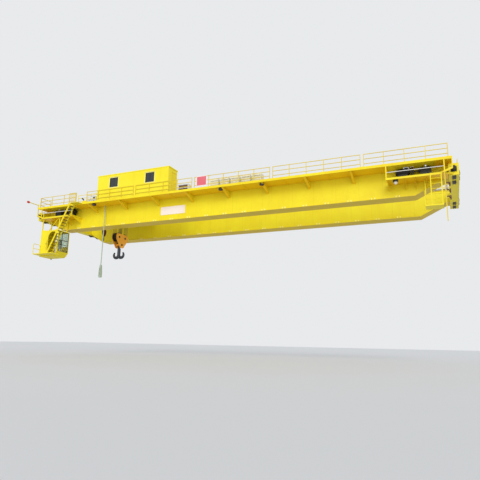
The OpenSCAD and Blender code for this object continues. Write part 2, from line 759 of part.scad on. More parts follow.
// Cab
cab_front = -cab_rear + cab_l;
cab_near = -cab_side;
cab_far = -cab_side + cab_w;
cab_floor = -cab_down;
cab_top = cab_floor + cab_h;
cab_cut = 380;
land_t = 60;
land_z = cab_floor + 80;
land_top = land_z + land_t;
cab_frame = 90;
cab_door_b = cab_front - cab_frame;
cab_door_a = cab_door_b - cab_door_w;
cab_pane_y = [cab_near + cab_frame, cab_far - 60];
cab_pane_z = [cab_floor + cab_cut + 60, cab_top - 80];
cab_side_x = [-cab_rear + 500, cab_front - cab_frame];
cab_side_z = [cab_floor + 1050, cab_top - cab_frame];
hanger_w = 80;
module cab_shell() {
    arch_z = cab_top - 100 - cab_door_w / 2;
    crest = 120;
    color(yellow) {
        difference() {
            translate([0, cab_far, 0]) rotate([90, 0, 0]) linear_extrude(cab_w)
                polygon([[-cab_rear, cab_floor], [cab_front - cab_cut, cab_floor],
                    [cab_front, cab_floor + cab_cut], [cab_front, cab_top], [-cab_rear, cab_top]]);
            translate([0, cab_far - cab_wall, 0]) rotate([90, 0, 0])
                linear_extrude(cab_w - 2 * cab_wall)
                polygon([[-cab_rear + cab_wall, land_top], [cab_front - cab_cut + 60, land_top],
                    [cab_front - cab_wall, cab_floor + cab_cut + 30],
                    [cab_front - cab_wall, cab_top - cab_wall],
                    [-cab_rear + cab_wall, cab_top - cab_wall]]);
            span_box([cab_front - cab_wall - eps, cab_pane_y[0], cab_pane_z[0]],
                [cab_front + eps, cab_pane_y[1], cab_pane_z[1]]);
            span_box([cab_side_x[0], cab_far - cab_wall - eps, cab_side_z[0]],
                [cab_side_x[1], cab_far + eps, cab_side_z[1]]);
            // doorway with an arched head
            translate([(cab_door_a + cab_door_b) / 2, cab_near - eps, 0]) rotate([-90, 0, 0])
                linear_extrude(cab_wall + 2 * eps) {
                translate([-cab_door_w / 2, -arch_z]) square([cab_door_w, arch_z - land_top]);
                translate([0, -arch_z]) circle(d = cab_door_w);
            }
        }
        // crest over the near wall, with a hollow upper edge
        half = cab_l / 2 - hanger_w;
        translate([-cab_rear + cab_l / 2, cab_near + cab_wall, cab_top - 20]) rotate([90, 0, 0])
            linear_extrude(cab_wall)
            polygon(concat([[-half, 0], [half, 0]],
                [for (t = [1:-0.25:-1]) [half * t, 30 + (crest - 10) * t * t]]));
    }
}

// Thin dark frame in front of the front pane
module cab_frames() {
    bar = 40;
    deep = [cab_front - cab_wall + 10, cab_front - 10];
    across = [cab_pane_y[0], cab_pane_y[0] + 0.34 * (cab_pane_y[1] - cab_pane_y[0]),
        cab_pane_y[1] - bar];
    up = [cab_pane_z[0], cab_pane_z[0] + 0.34 * (cab_pane_z[1] - cab_pane_z[0]),
        cab_pane_z[0] + 0.56 * (cab_pane_z[1] - cab_pane_z[0]), cab_pane_z[1] - bar];
    color(dark) difference() {
        span_box([deep[0], cab_pane_y[0], cab_pane_z[0]], [deep[1], cab_pane_y[1], cab_pane_z[1]]);
        for (i = [0, 1], k = [0:2]) span_box([deep[0] - eps, across[i] + bar, up[k] + bar],
            [deep[1] + eps, across[i + 1], up[k + 1]]);
    }
}

module cab_glazing() {
    color([0.25, 0.30, 0.30]) {
        span_box([cab_front - cab_wall, cab_pane_y[0], cab_pane_z[0]],
            [cab_front - cab_wall + 10, cab_pane_y[1], cab_pane_z[1]]);
        span_box([cab_side_x[0], cab_far - 10, cab_side_z[0]],
            [cab_side_x[1], cab_far, cab_side_z[1]]);
    }
}

// Control cabinet on a plinth behind the front pane
module cab_cabinet() {
    a = [cab_front - cab_wall - 400, cab_near + 190, land_top];
    color([0.9, 0.9, 0.88]) translate(a) {
        translate([10, 30, 0]) cube([110, 360, 560]);
        translate([0, 0, 560]) cube([340, 420, 850]);
    }
}

// Posts and a brace that hang the cab from the drive platform
module cab_hangers() {
    top = platform_z - platform_h;
    color(yellow) for (x = [-cab_rear, cab_front - hanger_w],
        y = [cab_near, -flange_y_out - hanger_w - 20])
        span_box([x, y, cab_top], [x + hanger_w, y + hanger_w, top]);
    color([0.85, 0.85, 0.82]) translate([0, cab_near + cab_wall + 55, 0]) rotate([90, 0, 0])
        linear_extrude(50) polygon([[-cab_rear + 780, cab_top], [-cab_rear + 840, cab_top],
            [cab_front - 120, top], [cab_front - 180, top]]);
}

// Landing beside the cab, at its floor level, with a round-cornered guard at its end
land_near = -walk_y - stair_w - 40;
land_left = -cab_rear + 30;
module cab_landing() {
    wide = cab_near - land_near - 40;
    high = 950;
    outer = rounded([[0, 0], [wide, 0], [wide, high], [0, high]], 140);
    inner = rounded([[rail_bar, rail_bar], [wide - rail_bar, rail_bar],
        [wide - rail_bar, high - rail_bar], [rail_bar, high - rail_bar]], 100);
    color(yellow) {
        span_box([land_left, land_near, land_z], [cab_front + 260, cab_near, land_top]);
        translate([land_left, land_near, land_top]) rotate([90, 0, 90]) linear_extrude(rail_bar) {
            difference() {
                polygon(outer);
                polygon(inner);
            }
            translate([rail_bar / 2, high / 2]) square([wide - rail_bar, rail_bar]);
        }
    }
}

// Steep stair from the near walkway down to the landing, with a plate at its head
stair_bottom_x = -rail_x + stair_foot_back;
tread_count = 17;
module cab_stair() {
    y0 = -walk_y - stair_w;
    y1 = -walk_y;
    stringer = 170;
    color(yellow) {
        for (y = [y0, y1 - 30]) translate([0, y + 30, 0]) rotate([90, 0, 0])
            linear_extrude(30) polygon([[stair_bottom_x, land_top],
                [stair_bottom_x + stringer, land_top], [stair_top_x + stringer, deck_under],
                [stair_top_x, deck_under]]);
        span_box([stair_top_x, y0, deck_under], [stair_top_x + 960, y1, deck_z]);
    }
}

// Treads of the cab stair, one solid each
module stair_treads() {
    rise = deck_z - land_top;
    run = stair_top_x - stair_bottom_x;
    for (i = [1:tread_count]) color([0.3, 0.28, 0.12])
        translate([stair_bottom_x + run * i / (tread_count + 1) - 10, -walk_y - stair_w + 30,
            land_top + rise * i / (tread_count + 1)]) cube([190, stair_w - 60, 12]);
}

// Arm with a round pad that warns of the next crane on the runway
arm_x = -walk_half + 60;
module collision_arm() {
    l = 1150;
    color(yellow) {
        bar_y([arm_x, -walk_y - l, deck_z + 330], 70, l);
        span_box([arm_x - 60, -walk_y - 40, deck_z - 60], [arm_x + 60, -walk_y, deck_z + 420]);
    }
    color([0.75, 0.1, 0.08]) bar_y([arm_x, -walk_y - l - 160, deck_z + 330], 200, 160);
}

// Ladder from the right drive platform down to its landing
ladder_x = rail_x - ladder_back;
ladder_w = 710;
landing_z = -1910;
module access_ladder() {
    stile = 60;
    y = -walk_y - 44;
    top = platform_z;
    color(yellow) {
        for (x = [ladder_x, ladder_x + ladder_w - stile])
            span_box([x, y, landing_z], [x + stile, y + 44, top]);
        for (k = [1:5]) bar_x([ladder_x + stile, y + 22, landing_z + k * 350], 34,
            ladder_w - 2 * stile);
    }
}

module ladder_landing() {
    far = -web_y_out - 500;
    near = -walk_y - 44;
    a = ladder_x - 380;
    b = ladder_x + ladder_w + 20;
    color(yellow) {
        span_box([a, near, landing_z - 90], [b, far, landing_z]);
        railing_y(near + rail_bar, far, a + rail_bar / 2, landing_z, 980, 800);
        railing_x(a + rail_bar, b, far - rail_bar / 2, landing_z, 980, 900);
        for (x = [a, b - 60]) span_box([x, far - 60, landing_z + 980], [x + 60, far, platform_z - platform_h]);
    }
}

// Pole with the current collector shoes at the runway conductor
module collector_pole() {
    x = rail_x - pole_back;
    color(yellow) {
        span_box([x, -walk_y - 60, -pole_down], [x + 60, -walk_y, platform_z]);
        span_box([x - 120, -walk_y - 60, platform_z - platform_h], [x, -walk_y, platform_z]);
    }
    color([0.45, 0.22, 0.08]) for (z = [-700, -1150, -1600]) {
        span_box([x + 60, -walk_y - 60, z], [x + 330, -walk_y - 10, z + 60]);
        span_box([x + 250, -walk_y - 220, z - 120], [x + 330, -walk_y - 60, z + 120]);
    }
}

// Trolley: two side beams on wheels, cross beams and a deck with rope wells
cross_w = 280;
cross_x = [-trolley_l / 2 + cross_w / 2, main_off - 620, main_off + 620, trolley_l / 2 - cross_w / 2];
deck_y = gauge / 2 + side_w / 2;
module trolley_frame() {
    slot_w = 200;
    color(yellow) translate([-trolley_x, 0, 0]) {
        both_sides() difference() {
            span_box([-trolley_l / 2, -gauge / 2 - side_w / 2, frame_z],
                [trolley_l / 2, -gauge / 2 + side_w / 2, trolley_deck]);
            for (x = [-roller_base / 2, roller_base / 2]) {
                span_box([x - roller_d / 2 - 40, -gauge / 2 - slot_w / 2, frame_z - eps],
                    [x + roller_d / 2 + 40, -gauge / 2 + slot_w / 2, rail_top + roller_d + 40]);
                bar_y([x, -gauge / 2 - side_w / 2 - eps, rail_top + roller_d / 2],
                    90 + 2 * running_gap, side_w + 2 * eps);
            }
        }
        for (x = cross_x) span_box([x - cross_w / 2, -gauge / 2 + side_w / 2, frame_z + 60],
            [x + cross_w / 2, gauge / 2 - side_w / 2, trolley_deck]);
        difference() {
            span_box([-trolley_l / 2, -deck_y, trolley_deck],
                [trolley_l / 2, deck_y, trolley_deck + trolley_deck_t]);
            span_box([main_off - 380, fall_y[0] - 140, trolley_deck - eps],
                [main_off + 380, fall_y[3] + 140, trolley_deck + trolley_deck_t + eps]);
            span_box([-aux_off - 180, -aux_fall_y - 120, trolley_deck - eps],
                [-aux_off + 180, aux_fall_y + 120, trolley_deck + trolley_deck_t + eps]);
        }
        both_sides() railing_x(-trolley_l / 2, trolley_l / 2, -deck_y + 30,
            trolley_deck + trolley_deck_t, 900, 1600);
        both_ends() both_sides() translate([trolley_l / 2, -gauge / 2, rail_top + 190]) rotate([0, 90, 0])
            cylinder(d = 160, h = 120);
    }
}

module trolley_wheels() {
    color([0.35, 0.33, 0.31]) both_sides() for (s = [-1, 1])
        translate([-trolley_x + s * roller_base / 2, -gauge / 2, rail_top + roller_d / 2])
        rotate([90, 0, 0]) {
            cylinder(d = roller_d, h = 150, center = true);
            for (k = [-1, 1]) translate([0, 0, k * 62.5])
                cylinder(d = roller_d + 40, h = 25, center = true);
            cylinder(d = 90, h = side_w + 60, center = true);
        }
}

// Gear unit and motor on one axle of each side beam
module trolley_drive() {
    z = rail_top + roller_d / 2;
    inner = gauge / 2 - side_w / 2;
    color([0.30, 0.42, 0.48]) both_sides() translate([-trolley_x + roller_base / 2, 0, 0]) {
        difference() {
            span_box([-150, inner - 220, z - 140], [150, inner, z + 240]);
            bar_y([0, inner - 31, z], 90 + 2 * running_gap, 32);
        }
        bar_y([0, inner - 640, z + 130], 260, 420);
    }
}

// Grooved rope drum on a shaft
module grooved_drum(d, l, pitch, depth, turns) {
    half = turns * pitch / 2;
    rotate([0, 90, 0]) rotate_extrude() polygon(concat([[0, -l / 2], [d / 2, -l / 2], [d / 2, -half]],
        [for (i = [0:turns - 1]) each [[d / 2 - depth, -half + (i + 0.5) * pitch],
            [d / 2, -half + (i + 1) * pitch]]],
        [[d / 2, l / 2], [0, l / 2]]));
}

drum_y = shaft_gap + sheave_d / 2 + 12 + drum_d / 2;
drum_turns = 30;
module main_drum() {
    color([0.5, 0.48, 0.45]) both_sides() translate([main_x, drum_y, shaft_z]) {
        grooved_drum(drum_d, drum_l, 64, 12, drum_turns);
        rotate([0, 90, 0]) cylinder(d = 180, h = drum_l + 440, center = true);
        for (s = [-1, 1]) translate([s * (drum_l / 2 - 15), 0, 0]) rotate([0, 90, 0])
            cylinder(d = drum_d + 2 * drum_lip, h = 30, center = true);
    }
}

// Gearbox, bearing pedestal, motor and brake of each main drum
module main_hoist_drive() {
    z0 = trolley_deck + trolley_deck_t;
    end = drum_l / 2 + 40;
    motor_y = deck_y - 400;
    color([0.30, 0.42, 0.48]) both_sides() translate([main_x, 0, 0]) {
        bar_x([end - 1000, motor_y, z0 + 320], 440, 720);
        bar_x([end - 280, motor_y, z0 + 320], 90, 280);
        bar_x([end - 190, motor_y, z0 + 320], 360, 110);
        for (x = [end - 900, end - 480])
            span_box([x, motor_y - 170, z0], [x + 90, motor_y + 170, z0 + 240]);
        difference() {
            union() {
                span_box([end, drum_y - 380, z0], [end + 360, deck_y - 140, z0 + 600]);
                bar_x([end, drum_y, shaft_z], 720, 360);
                span_box([-end - 160, drum_y - 260, z0], [-end, drum_y + 260, shaft_z]);
                bar_x([-end - 160, drum_y, shaft_z], 360, 160);
            }
            bar_x([-end - 161, drum_y, shaft_z], 180 + 2 * running_gap, 162);
            bar_x([end - 1, drum_y, shaft_z], 180 + 2 * running_gap, 200);
            bar_x([end - 1, drum_y, shaft_z], 180 + 2 * running_gap, 362);
        }
    }
}

// Auxiliary hoist: small drum with its motor beside it, on two pedestals
aux_drum_y = aux_fall_y + aux_rope_r + aux_drum_d / 2 + 1;
module aux_hoist() {
    z0 = trolley_deck + trolley_deck_t;
    end = aux_drum_l / 2 + 20;
    color([0.30, 0.42, 0.48]) translate([aux_x, 0, 0]) {
        translate([0, aux_drum_y, shaft_z]) {
            grooved_drum(aux_drum_d, aux_drum_l, 40, 8, 20);
            rotate([0, 90, 0]) cylinder(d = 120, h = aux_drum_l + 40, center = true);
        }
        for (x = [-end - 120, end])
            span_box([x, aux_drum_y - 160, z0], [x + 120, aux_drum_y + 160, shaft_z + 120]);
        // gearbox and motor
        span_box([-end - 380, aux_drum_y - 160, z0], [-end - 120, aux_drum_y + 680, z0 + 520]);
        bar_x([-end - 120, aux_drum_y + 520, z0 + 240], 280, 560);
        bar_x([-end + 440, aux_drum_y + 520, z0 + 240], 200, 60);
        span_box([-end + 120, aux_drum_y + 400, z0], [-end + 320, aux_drum_y + 640, z0 + 180]);
    }
}

// A sheave with a trapezoid groove, its shaft along X
module sheave(d, w, depth, wall) {
    rotate([0, 90, 0]) rotate_extrude() polygon([[0, -w / 2], [d / 2, -w / 2], [d / 2, -w / 2 + wall],
        [d / 2 - depth, -w / 2 + wall + depth * 0.22], [d / 2 - depth, w / 2 - wall - depth * 0.22],
        [d / 2, w / 2 - wall], [d / 2, w / 2], [0, w / 2]]);
}

// Upper sheaves on two shafts over the main well, in brackets on the trolley deck
upper_x = sheave_step;
module upper_sheaves() {
    z0 = trolley_deck + trolley_deck_t;
    reach = 440;
    plate_y = fall_y[3] + 220;
    color(dark) both_sides() translate([main_x, shaft_gap, shaft_z]) {
        for (s = [-1, 1]) translate([s * upper_x, 0, 0]) sheave(sheave_d, sheave_w, groove, 12);
        rotate([0, 90, 0]) cylinder(d = 150, h = 2 * reach + 60, center = true);
    }
    color(yellow) translate([main_x, 0, 0]) for (s = [-1, 1]) {
        difference() {
            translate([s * reach - 25, 0, 0]) rotate([90, 0, 90]) linear_extrude(50)
                polygon([[-plate_y, z0], [plate_y, z0], [plate_y, z0 + 90],
                    [shaft_gap + 180, shaft_z + 140], [-shaft_gap - 180, shaft_z + 140],
                    [-plate_y, z0 + 90]]);
            for (y = [-shaft_gap, shaft_gap])
                bar_x([s * reach - 26, y, shaft_z], 150 + 2 * running_gap, 52);
        }
        // anchor of the dead rope ends
        translate([s > 0 ? 150 : 25 - reach, -90, equal_z]) cube([reach - 175, 180, 90]);
    }
    // bracket that holds the dead end of the auxiliary rope
    color(yellow) translate([aux_x, -aux_fall_y, 0]) {
        span_box([-50, -180, equal_z], [50, 30, equal_z + 60]);
        span_box([-50, -180, z0], [50, -130, equal_z]);
    }
}

// Upper ends of the ropes, from the frame to the drums, upper sheaves and anchors
module rope_leads() {
    to_drum = drum_y - drum_d / 2 - rope_r - 1;
    inner = fall_y[2];
    outer = fall_y[3];
    tube = [rope_r, rope_r, rope_r];
    color(rope_grey) both_sides() for (s = [-1, 1]) translate([main_x, 0, 0]) {
        swept([[s * fall_x[2], outer, rope_z], [s * fall_x[2], outer, rope_z + 60],
            [s * fall_x[2], to_drum, shaft_z]], tube, [1, 0, 0]);
        swept([[s * fall_x[2], inner, rope_z], [s * fall_x[2], inner, rope_z + 60],
            [s * upper_x, inner, shaft_z]], tube, [0, 1, 0]);
        swept([[s * fall_x[3], outer, rope_z], [s * fall_x[3], outer, rope_z + 60],
            [s * upper_x, outer, shaft_z]], tube, [0, 1, 0]);
        bar_z([s * fall_x[3], inner, rope_z], rope_d, equal_z - rope_z);
    }
    color(rope_grey) {
        bar_z([aux_x, aux_fall_y, rope_z], aux_rope_d, shaft_z - rope_z);
        bar_z([aux_x, -aux_fall_y, rope_z], aux_rope_d, equal_z - rope_z);
    }
}

// Falls of the main rope, two from each of the eight lower sheaves
module main_ropes() {
    color(rope_grey) for (x = fall_x, y = fall_y)
        bar_z([main_x + x, y, -main_shaft_down], rope_d, rope_z + main_shaft_down);
}

module aux_ropes() {
    color(rope_grey) for (s = [-1, 1])
        bar_z([aux_x, s * aux_fall_y, -aux_shaft_down], aux_rope_d, rope_z + aux_shaft_down);
}

// Two side plates of the main block, joined by the crosshead and its trunnions
block_top = -main_shaft_down + 340;
cross_top = -main_shaft_down - sheave_d / 2 - 205;
cross_h = 160;
block_bot = cross_top - cross_h - 230;
shank_d = 220;
module main_block_plates() {
    w = block_w / 2;
    outline = rounded([[-w * 0.88, block_top], [w * 0.88, block_top], [w, block_top - 190],
        [w, block_top - 540], [w * 0.25, block_bot], [-w * 0.25, block_bot],
        [-w, block_top - 540], [-w, block_top - 190]], 90);
    color([0.90, 0.66, 0.22]) translate([main_x, 0, 0]) {
        difference() {
            for (s = [-1, 1]) translate([s * (plate_in + plate_t / 2) - plate_t / 2, 0, 0])
                rotate([90, 0, 90]) linear_extrude(plate_t) polygon(outline);
            for (y = [-shaft_gap, shaft_gap])
                bar_x([-plate_in - plate_t - eps, y, -main_shaft_down],
                    main_axle_d + 2 * running_gap, 2 * (plate_in + plate_t + eps));
        }
        difference() {
            span_box([-plate_in, -200, cross_top - cross_h], [plate_in, 200, cross_top]);
            bar_z([0, 0, cross_top - cross_h - eps], shank_d + 2 * running_gap, cross_h + 2 * eps);
        }
        for (s = [-1, 1]) translate([s * (plate_in + plate_t + 10), 0, cross_top - cross_h / 2])
            rotate([0, 90, 0]) cylinder(d = main_axle_d, h = 20, center = true);
    }
}

module main_sheaves() {
    color(dark) both_sides() translate([main_x, shaft_gap, -main_shaft_down]) {
        for (x = fall_x) translate([x, 0, 0]) sheave(sheave_d, sheave_w, groove, 12);
        rotate([0, 90, 0]) cylinder(d = main_axle_d, h = 2 * (plate_in + plate_t) + 40, center = true);
    }
}

// Forged ramshorn hook with a nut that rests on the crosshead
horn_r = 285;
neck_d = 310;
module main_hook() {
    nut_h = 100;
    bottom = cross_top - cross_h - 885;
    arc = [for (a = [180:12:408]) a];
    color([0.22, 0.23, 0.26]) translate([main_x, 0, 0]) {
        bar_z([0, 0, cross_top + running_gap], 340, nut_h);
        bar_z([0, 0, bottom], shank_d, cross_top + running_gap - bottom);
        bar_z([0, 0, bottom], neck_d, block_bot - 60 - bottom);
        for (s = [-1, 1]) swept([for (a = arc) [s * (horn_r + horn_r * cos(a)), 0, bottom + horn_r * sin(a)]],
            [for (a = arc) neck_d / 2 - 85 * pow((a - 180) / 228, 2)], [0, 1, 0]);
    }
}

// Auxiliary block with one sheave between two plates
aux_cross_top = -aux_shaft_down - aux_sheave_d / 2 - 110;
aux_cross_h = 90;
aux_shank_d = 64;
module aux_block() {
    w = aux_sheave_d / 2 - 10;
    top = -aux_shaft_down + aux_sheave_d / 2;
    bot = aux_cross_top - aux_cross_h - 10;
    outline = rounded([[-w * 0.6, top], [w * 0.6, top], [w, -aux_shaft_down + 60],
        [w, -aux_shaft_down - 90], [w * 0.4, bot], [-w * 0.4, bot], [-w, -aux_shaft_down - 90],
        [-w, -aux_shaft_down + 60]], 50);
    color([0.35, 0.12, 0.08]) translate([aux_x, 0, 0]) {
        for (x = [-66, 46]) translate([x, 0, 0])
            rotate([90, 0, 90]) linear_extrude(20) polygon(outline);
        difference() {
            span_box([-46, -90, aux_cross_top - aux_cross_h], [46, 90, aux_cross_top]);
            bar_z([0, 0, aux_cross_top - aux_cross_h - eps], aux_shank_d + 2 * running_gap,
                aux_cross_h + 2 * eps);
        }
        translate([0, 0, -aux_shaft_down]) {
            sheave(aux_sheave_d, 60, aux_groove, 10);
            rotate([0, 90, 0]) cylinder(d = aux_axle_d, h = 92, center = true);
        }
    }
}

// Single hook of the auxiliary hoist
module aux_hook() {
    bowl = 130;
    centre = aux_cross_top - aux_cross_h - 330;
    arc = [for (a = [120:15:405]) a];
    color([0.15, 0.14, 0.15]) translate([aux_x, 0, 0]) rotate([0, 0, 40]) {
        bar_z([0, 0, aux_cross_top + running_gap], 84, 60);
        bar_z([0, 0, centre + bowl + 40], aux_shank_d,
            aux_cross_top + running_gap - centre - bowl - 40);
        swept(concat([[0, 0, centre + bowl + 60], [0, -10, centre + bowl + 25]],
            [for (a = arc) [0, bowl * cos(a), centre + bowl * sin(a)]]),
            concat([30, 34], [for (a = arc) 44 - 24 * pow((a - 120) / 285, 2)]), [1, 0, 0]);
    }
}

// Control cable that hangs from the near walkway, and the box on its end
cable_d = 80;
cable_x = -10880;
cable_y = -3800;
gland_l = 60;
cable_points = [[cable_x, cable_y, 1040], [cable_x, cable_y, 800], [cable_x, cable_y, 400],
    [cable_x, cable_y, 0], [cable_x, cable_y, -400], [cable_x, cable_y, -800],
    [cable_x, cable_y, -1200], [cable_x, cable_y, -1600], [cable_x, cable_y, -2000],
    [cable_x, cable_y, -2400], [cable_x, cable_y, -2800], [cable_x, cable_y, -3200],
    [cable_x, cable_y, -3600], [cable_x, cable_y, -4000], [cable_x, cable_y, -4400]];
module pendant_cable() {
    color([0.66, 0.74, 0.62]) swept(cable_points, [for (p = cable_points) cable_d / 2], [0, 1, 0], 8);
}

module pendant_box() {
    z = cable_points[len(cable_points) - 1][2];
    color([0.62, 0.72, 0.60]) translate([cable_x, cable_y + 80, z - 1100]) rotate([90, 0, 0])
        linear_extrude(160) polygon([[-110, 0], [110, 0], [135, 120], [135, 480], [60, 1100],
            [-60, 1100], [-135, 480], [-135, 120]]);
}

near_girder();
far_girder();
trolley_rails();
left_end_carriage();
right_end_carriage();
travel_wheels();
end_buffers();
near_walkway();
far_walkway();
near_railing();
far_railing();
end_railings();
left_drive_platform();
right_drive_platform();
guard_pipes();
left_travel_drive();
right_travel_drive();
room_walls();
room_roof();
room_windows();
room_door();
resistor_boxes();
control_box();
air_conditioner();
flood_lamps();
cab_shell();
cab_frames();
cab_glazing();
cab_cabinet();
cab_hangers();
cab_landing();
cab_stair();
stair_treads();
collision_arm();
access_ladder();
ladder_landing();
collector_pole();
trolley_frame();
trolley_wheels();
trolley_drive();
main_drum();
main_hoist_drive();
aux_hoist();
upper_sheaves();
rope_leads();
main_ropes();
aux_ropes();
main_block_plates();
main_sheaves();
main_hook();
aux_block();
aux_hook();
pendant_cable();
pendant_box();
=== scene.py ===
import math

import bmesh
import bpy
from mathutils import Matrix, Vector


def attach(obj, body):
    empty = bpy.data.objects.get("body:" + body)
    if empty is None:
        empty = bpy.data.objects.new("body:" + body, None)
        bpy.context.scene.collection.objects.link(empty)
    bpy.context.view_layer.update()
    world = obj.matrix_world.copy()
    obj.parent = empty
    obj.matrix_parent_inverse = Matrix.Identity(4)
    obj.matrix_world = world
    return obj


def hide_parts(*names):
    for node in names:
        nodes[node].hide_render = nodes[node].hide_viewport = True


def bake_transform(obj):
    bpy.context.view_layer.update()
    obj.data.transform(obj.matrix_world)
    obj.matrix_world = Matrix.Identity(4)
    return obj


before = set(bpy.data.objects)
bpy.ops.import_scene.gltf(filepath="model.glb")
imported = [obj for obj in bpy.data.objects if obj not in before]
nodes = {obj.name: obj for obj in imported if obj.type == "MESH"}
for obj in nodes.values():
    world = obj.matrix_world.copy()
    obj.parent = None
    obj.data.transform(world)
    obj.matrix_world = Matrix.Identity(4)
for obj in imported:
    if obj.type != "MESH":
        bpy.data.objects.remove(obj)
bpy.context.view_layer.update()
print("frame loaded:", len(nodes), "nodes")


def stand(name, data):  # a new object in the scene
    made = bpy.data.objects.new(name, data)
    bpy.context.scene.collection.objects.link(made)
    return made


# the camera, the lamps and the floor

def aimCamera():
    setup = {"lens": 35.9, "place": (17.32, -37.09, -10.84), "yaw": 23.96, "pitch": 12.04, "roll": 1.06}
    yaw, pitch, roll = (math.radians(setup[k]) for k in ("yaw", "pitch", "roll"))
    ahead = Vector((-math.sin(yaw) * math.cos(pitch), math.cos(yaw) * math.cos(pitch), math.sin(pitch)))
    right = Vector((math.cos(yaw), math.sin(yaw), 0))
    up = right.cross(ahead)
    turn = Matrix((right, up, -ahead)).transposed() @ Matrix.Rotation(roll, 3, "Z")
    camera = stand("camera", bpy.data.cameras.new("camera"))
    camera.data.lens = setup["lens"]
    camera.data.clip_end = 500
    camera.matrix_world = Matrix.Translation(setup["place"]) @ turn.to_4x4()
    bpy.context.scene.camera = camera


def linear(*screen):  # a screen colour of 0 to 255 as light
    parts = [part / 255 for part in screen]
    return (*(p / 12.92 if p <= 0.04045 else ((p + 0.055) / 1.055) ** 2.4 for p in parts), 1)


def inSum(how, swapped=False):
    def made(self, other):
        return self.sum(how, other, self) if swapped else self.sum(how, self, other)
    return made


# a shader output that can stand in a sum
class Signal:
    __add__ = __radd__ = inSum("ADD")
    __mul__ = __rmul__ = inSum("MULTIPLY")
    __sub__ = inSum("SUBTRACT")
    __rsub__ = inSum("SUBTRACT", swapped=True)
    __truediv__ = inSum("DIVIDE")
    under = inSum("LESS_THAN")
    over = inSum("GREATER_THAN")

    def __init__(self, bench, socket):
        self.bench = bench
        self.socket = socket

    def sum(self, how, a, b):
        return self.bench.node("ShaderNodeMath", {"operation": how}, {0: a, 1: b})

    def ramp(self, low, high):  # 0 at low, 1 at high, held outside them
        return self.bench.node("ShaderNodeMapRange", {"clamp": True}, {
            "Value": self, "From Min": low, "From Max": high})

    def wrapped(self, step):  # distance to the nearest whole step
        return self.sum("PINGPONG", self, step / 2)


# one material's nodes
class Bench:
    def __init__(self, name, tree=None):
        if tree is None:
            self.material = bpy.data.materials.new(name)
            self.material.use_nodes = True
            tree = self.material.node_tree
            self.shader = tree.nodes["Principled BSDF"]
        self.tree = tree
        self.seat = None

    def node(self, kind, settings=None, values=None, out=0):
        made = self.tree.nodes.new(kind)
        for key, value in (settings or {}).items():
            setattr(made, key, value)
        for key, value in (values or {}).items():
            self.join(value, made.inputs[key])
        return Signal(self, made.outputs[out]) if made.outputs else made

    def join(self, value, socket):
        if isinstance(value, Signal):
            self.tree.links.new(value.socket, socket)
        else:
            socket.default_value = value

    def place(self):
        if self.seat is None:
            self.seat = self.node("ShaderNodeTexCoord", out="Object")
        return self.seat

    def axes(self):
        split = self.node("ShaderNodeSeparateXYZ", {}, {0: self.place()})
        outs = split.socket.node.outputs
        return [Signal(self, outs[k]) for k in range(3)]

    def facing(self):  # how far the surface looks up, from -1 to 1
        normal = self.node("ShaderNodeTexCoord", out="Normal")
        return self.node("ShaderNodeSeparateXYZ", {}, {0: normal}, out=2)

    def noise(self, scale, detail=3, stretch=(1, 1, 1), rough=0.55):
        spot = self.node("ShaderNodeMapping", {}, {"Vector": self.place(), "Scale": stretch})
        return self.node("ShaderNodeTexNoise", {}, {
            "Vector": spot, "Scale": scale, "Detail": detail, "Roughness": rough})

    def lugs(self):  # the raised pattern of tread plate
        x, y, _ = self.axes()
        size = {"pitch": 0.06, "low": 0.006, "high": 0.012}
        lines = [(x + y).wrapped(size["pitch"]), (x - y).wrapped(size["pitch"])]
        across, along = (line.ramp(size["low"], size["high"]) for line in lines)
        return 1 - across.sum("MINIMUM", across, along)

    def blend(self, share, first, second):
        return self.node("ShaderNodeMix", {"data_type": "RGBA"}, {0: share, 6: first, 7: second}, out=2)

    def finish(self, colour, rough, height=None, lift=0.002, metal=0.0, **fixed):
        self.join(colour, self.shader.inputs["Base Color"])
        self.join(rough, self.shader.inputs["Roughness"])
        self.join(metal, self.shader.inputs["Metallic"])
        for key, value in fixed.items():
            self.shader.inputs[key.replace("_", " ")].default_value = value
        if height is not None:
            bump = self.node("ShaderNodeBump", {}, {"Height": height, "Distance": lift, "Strength": 1.0})
            self.join(bump, self.shader.inputs["Normal"])
        return self.material


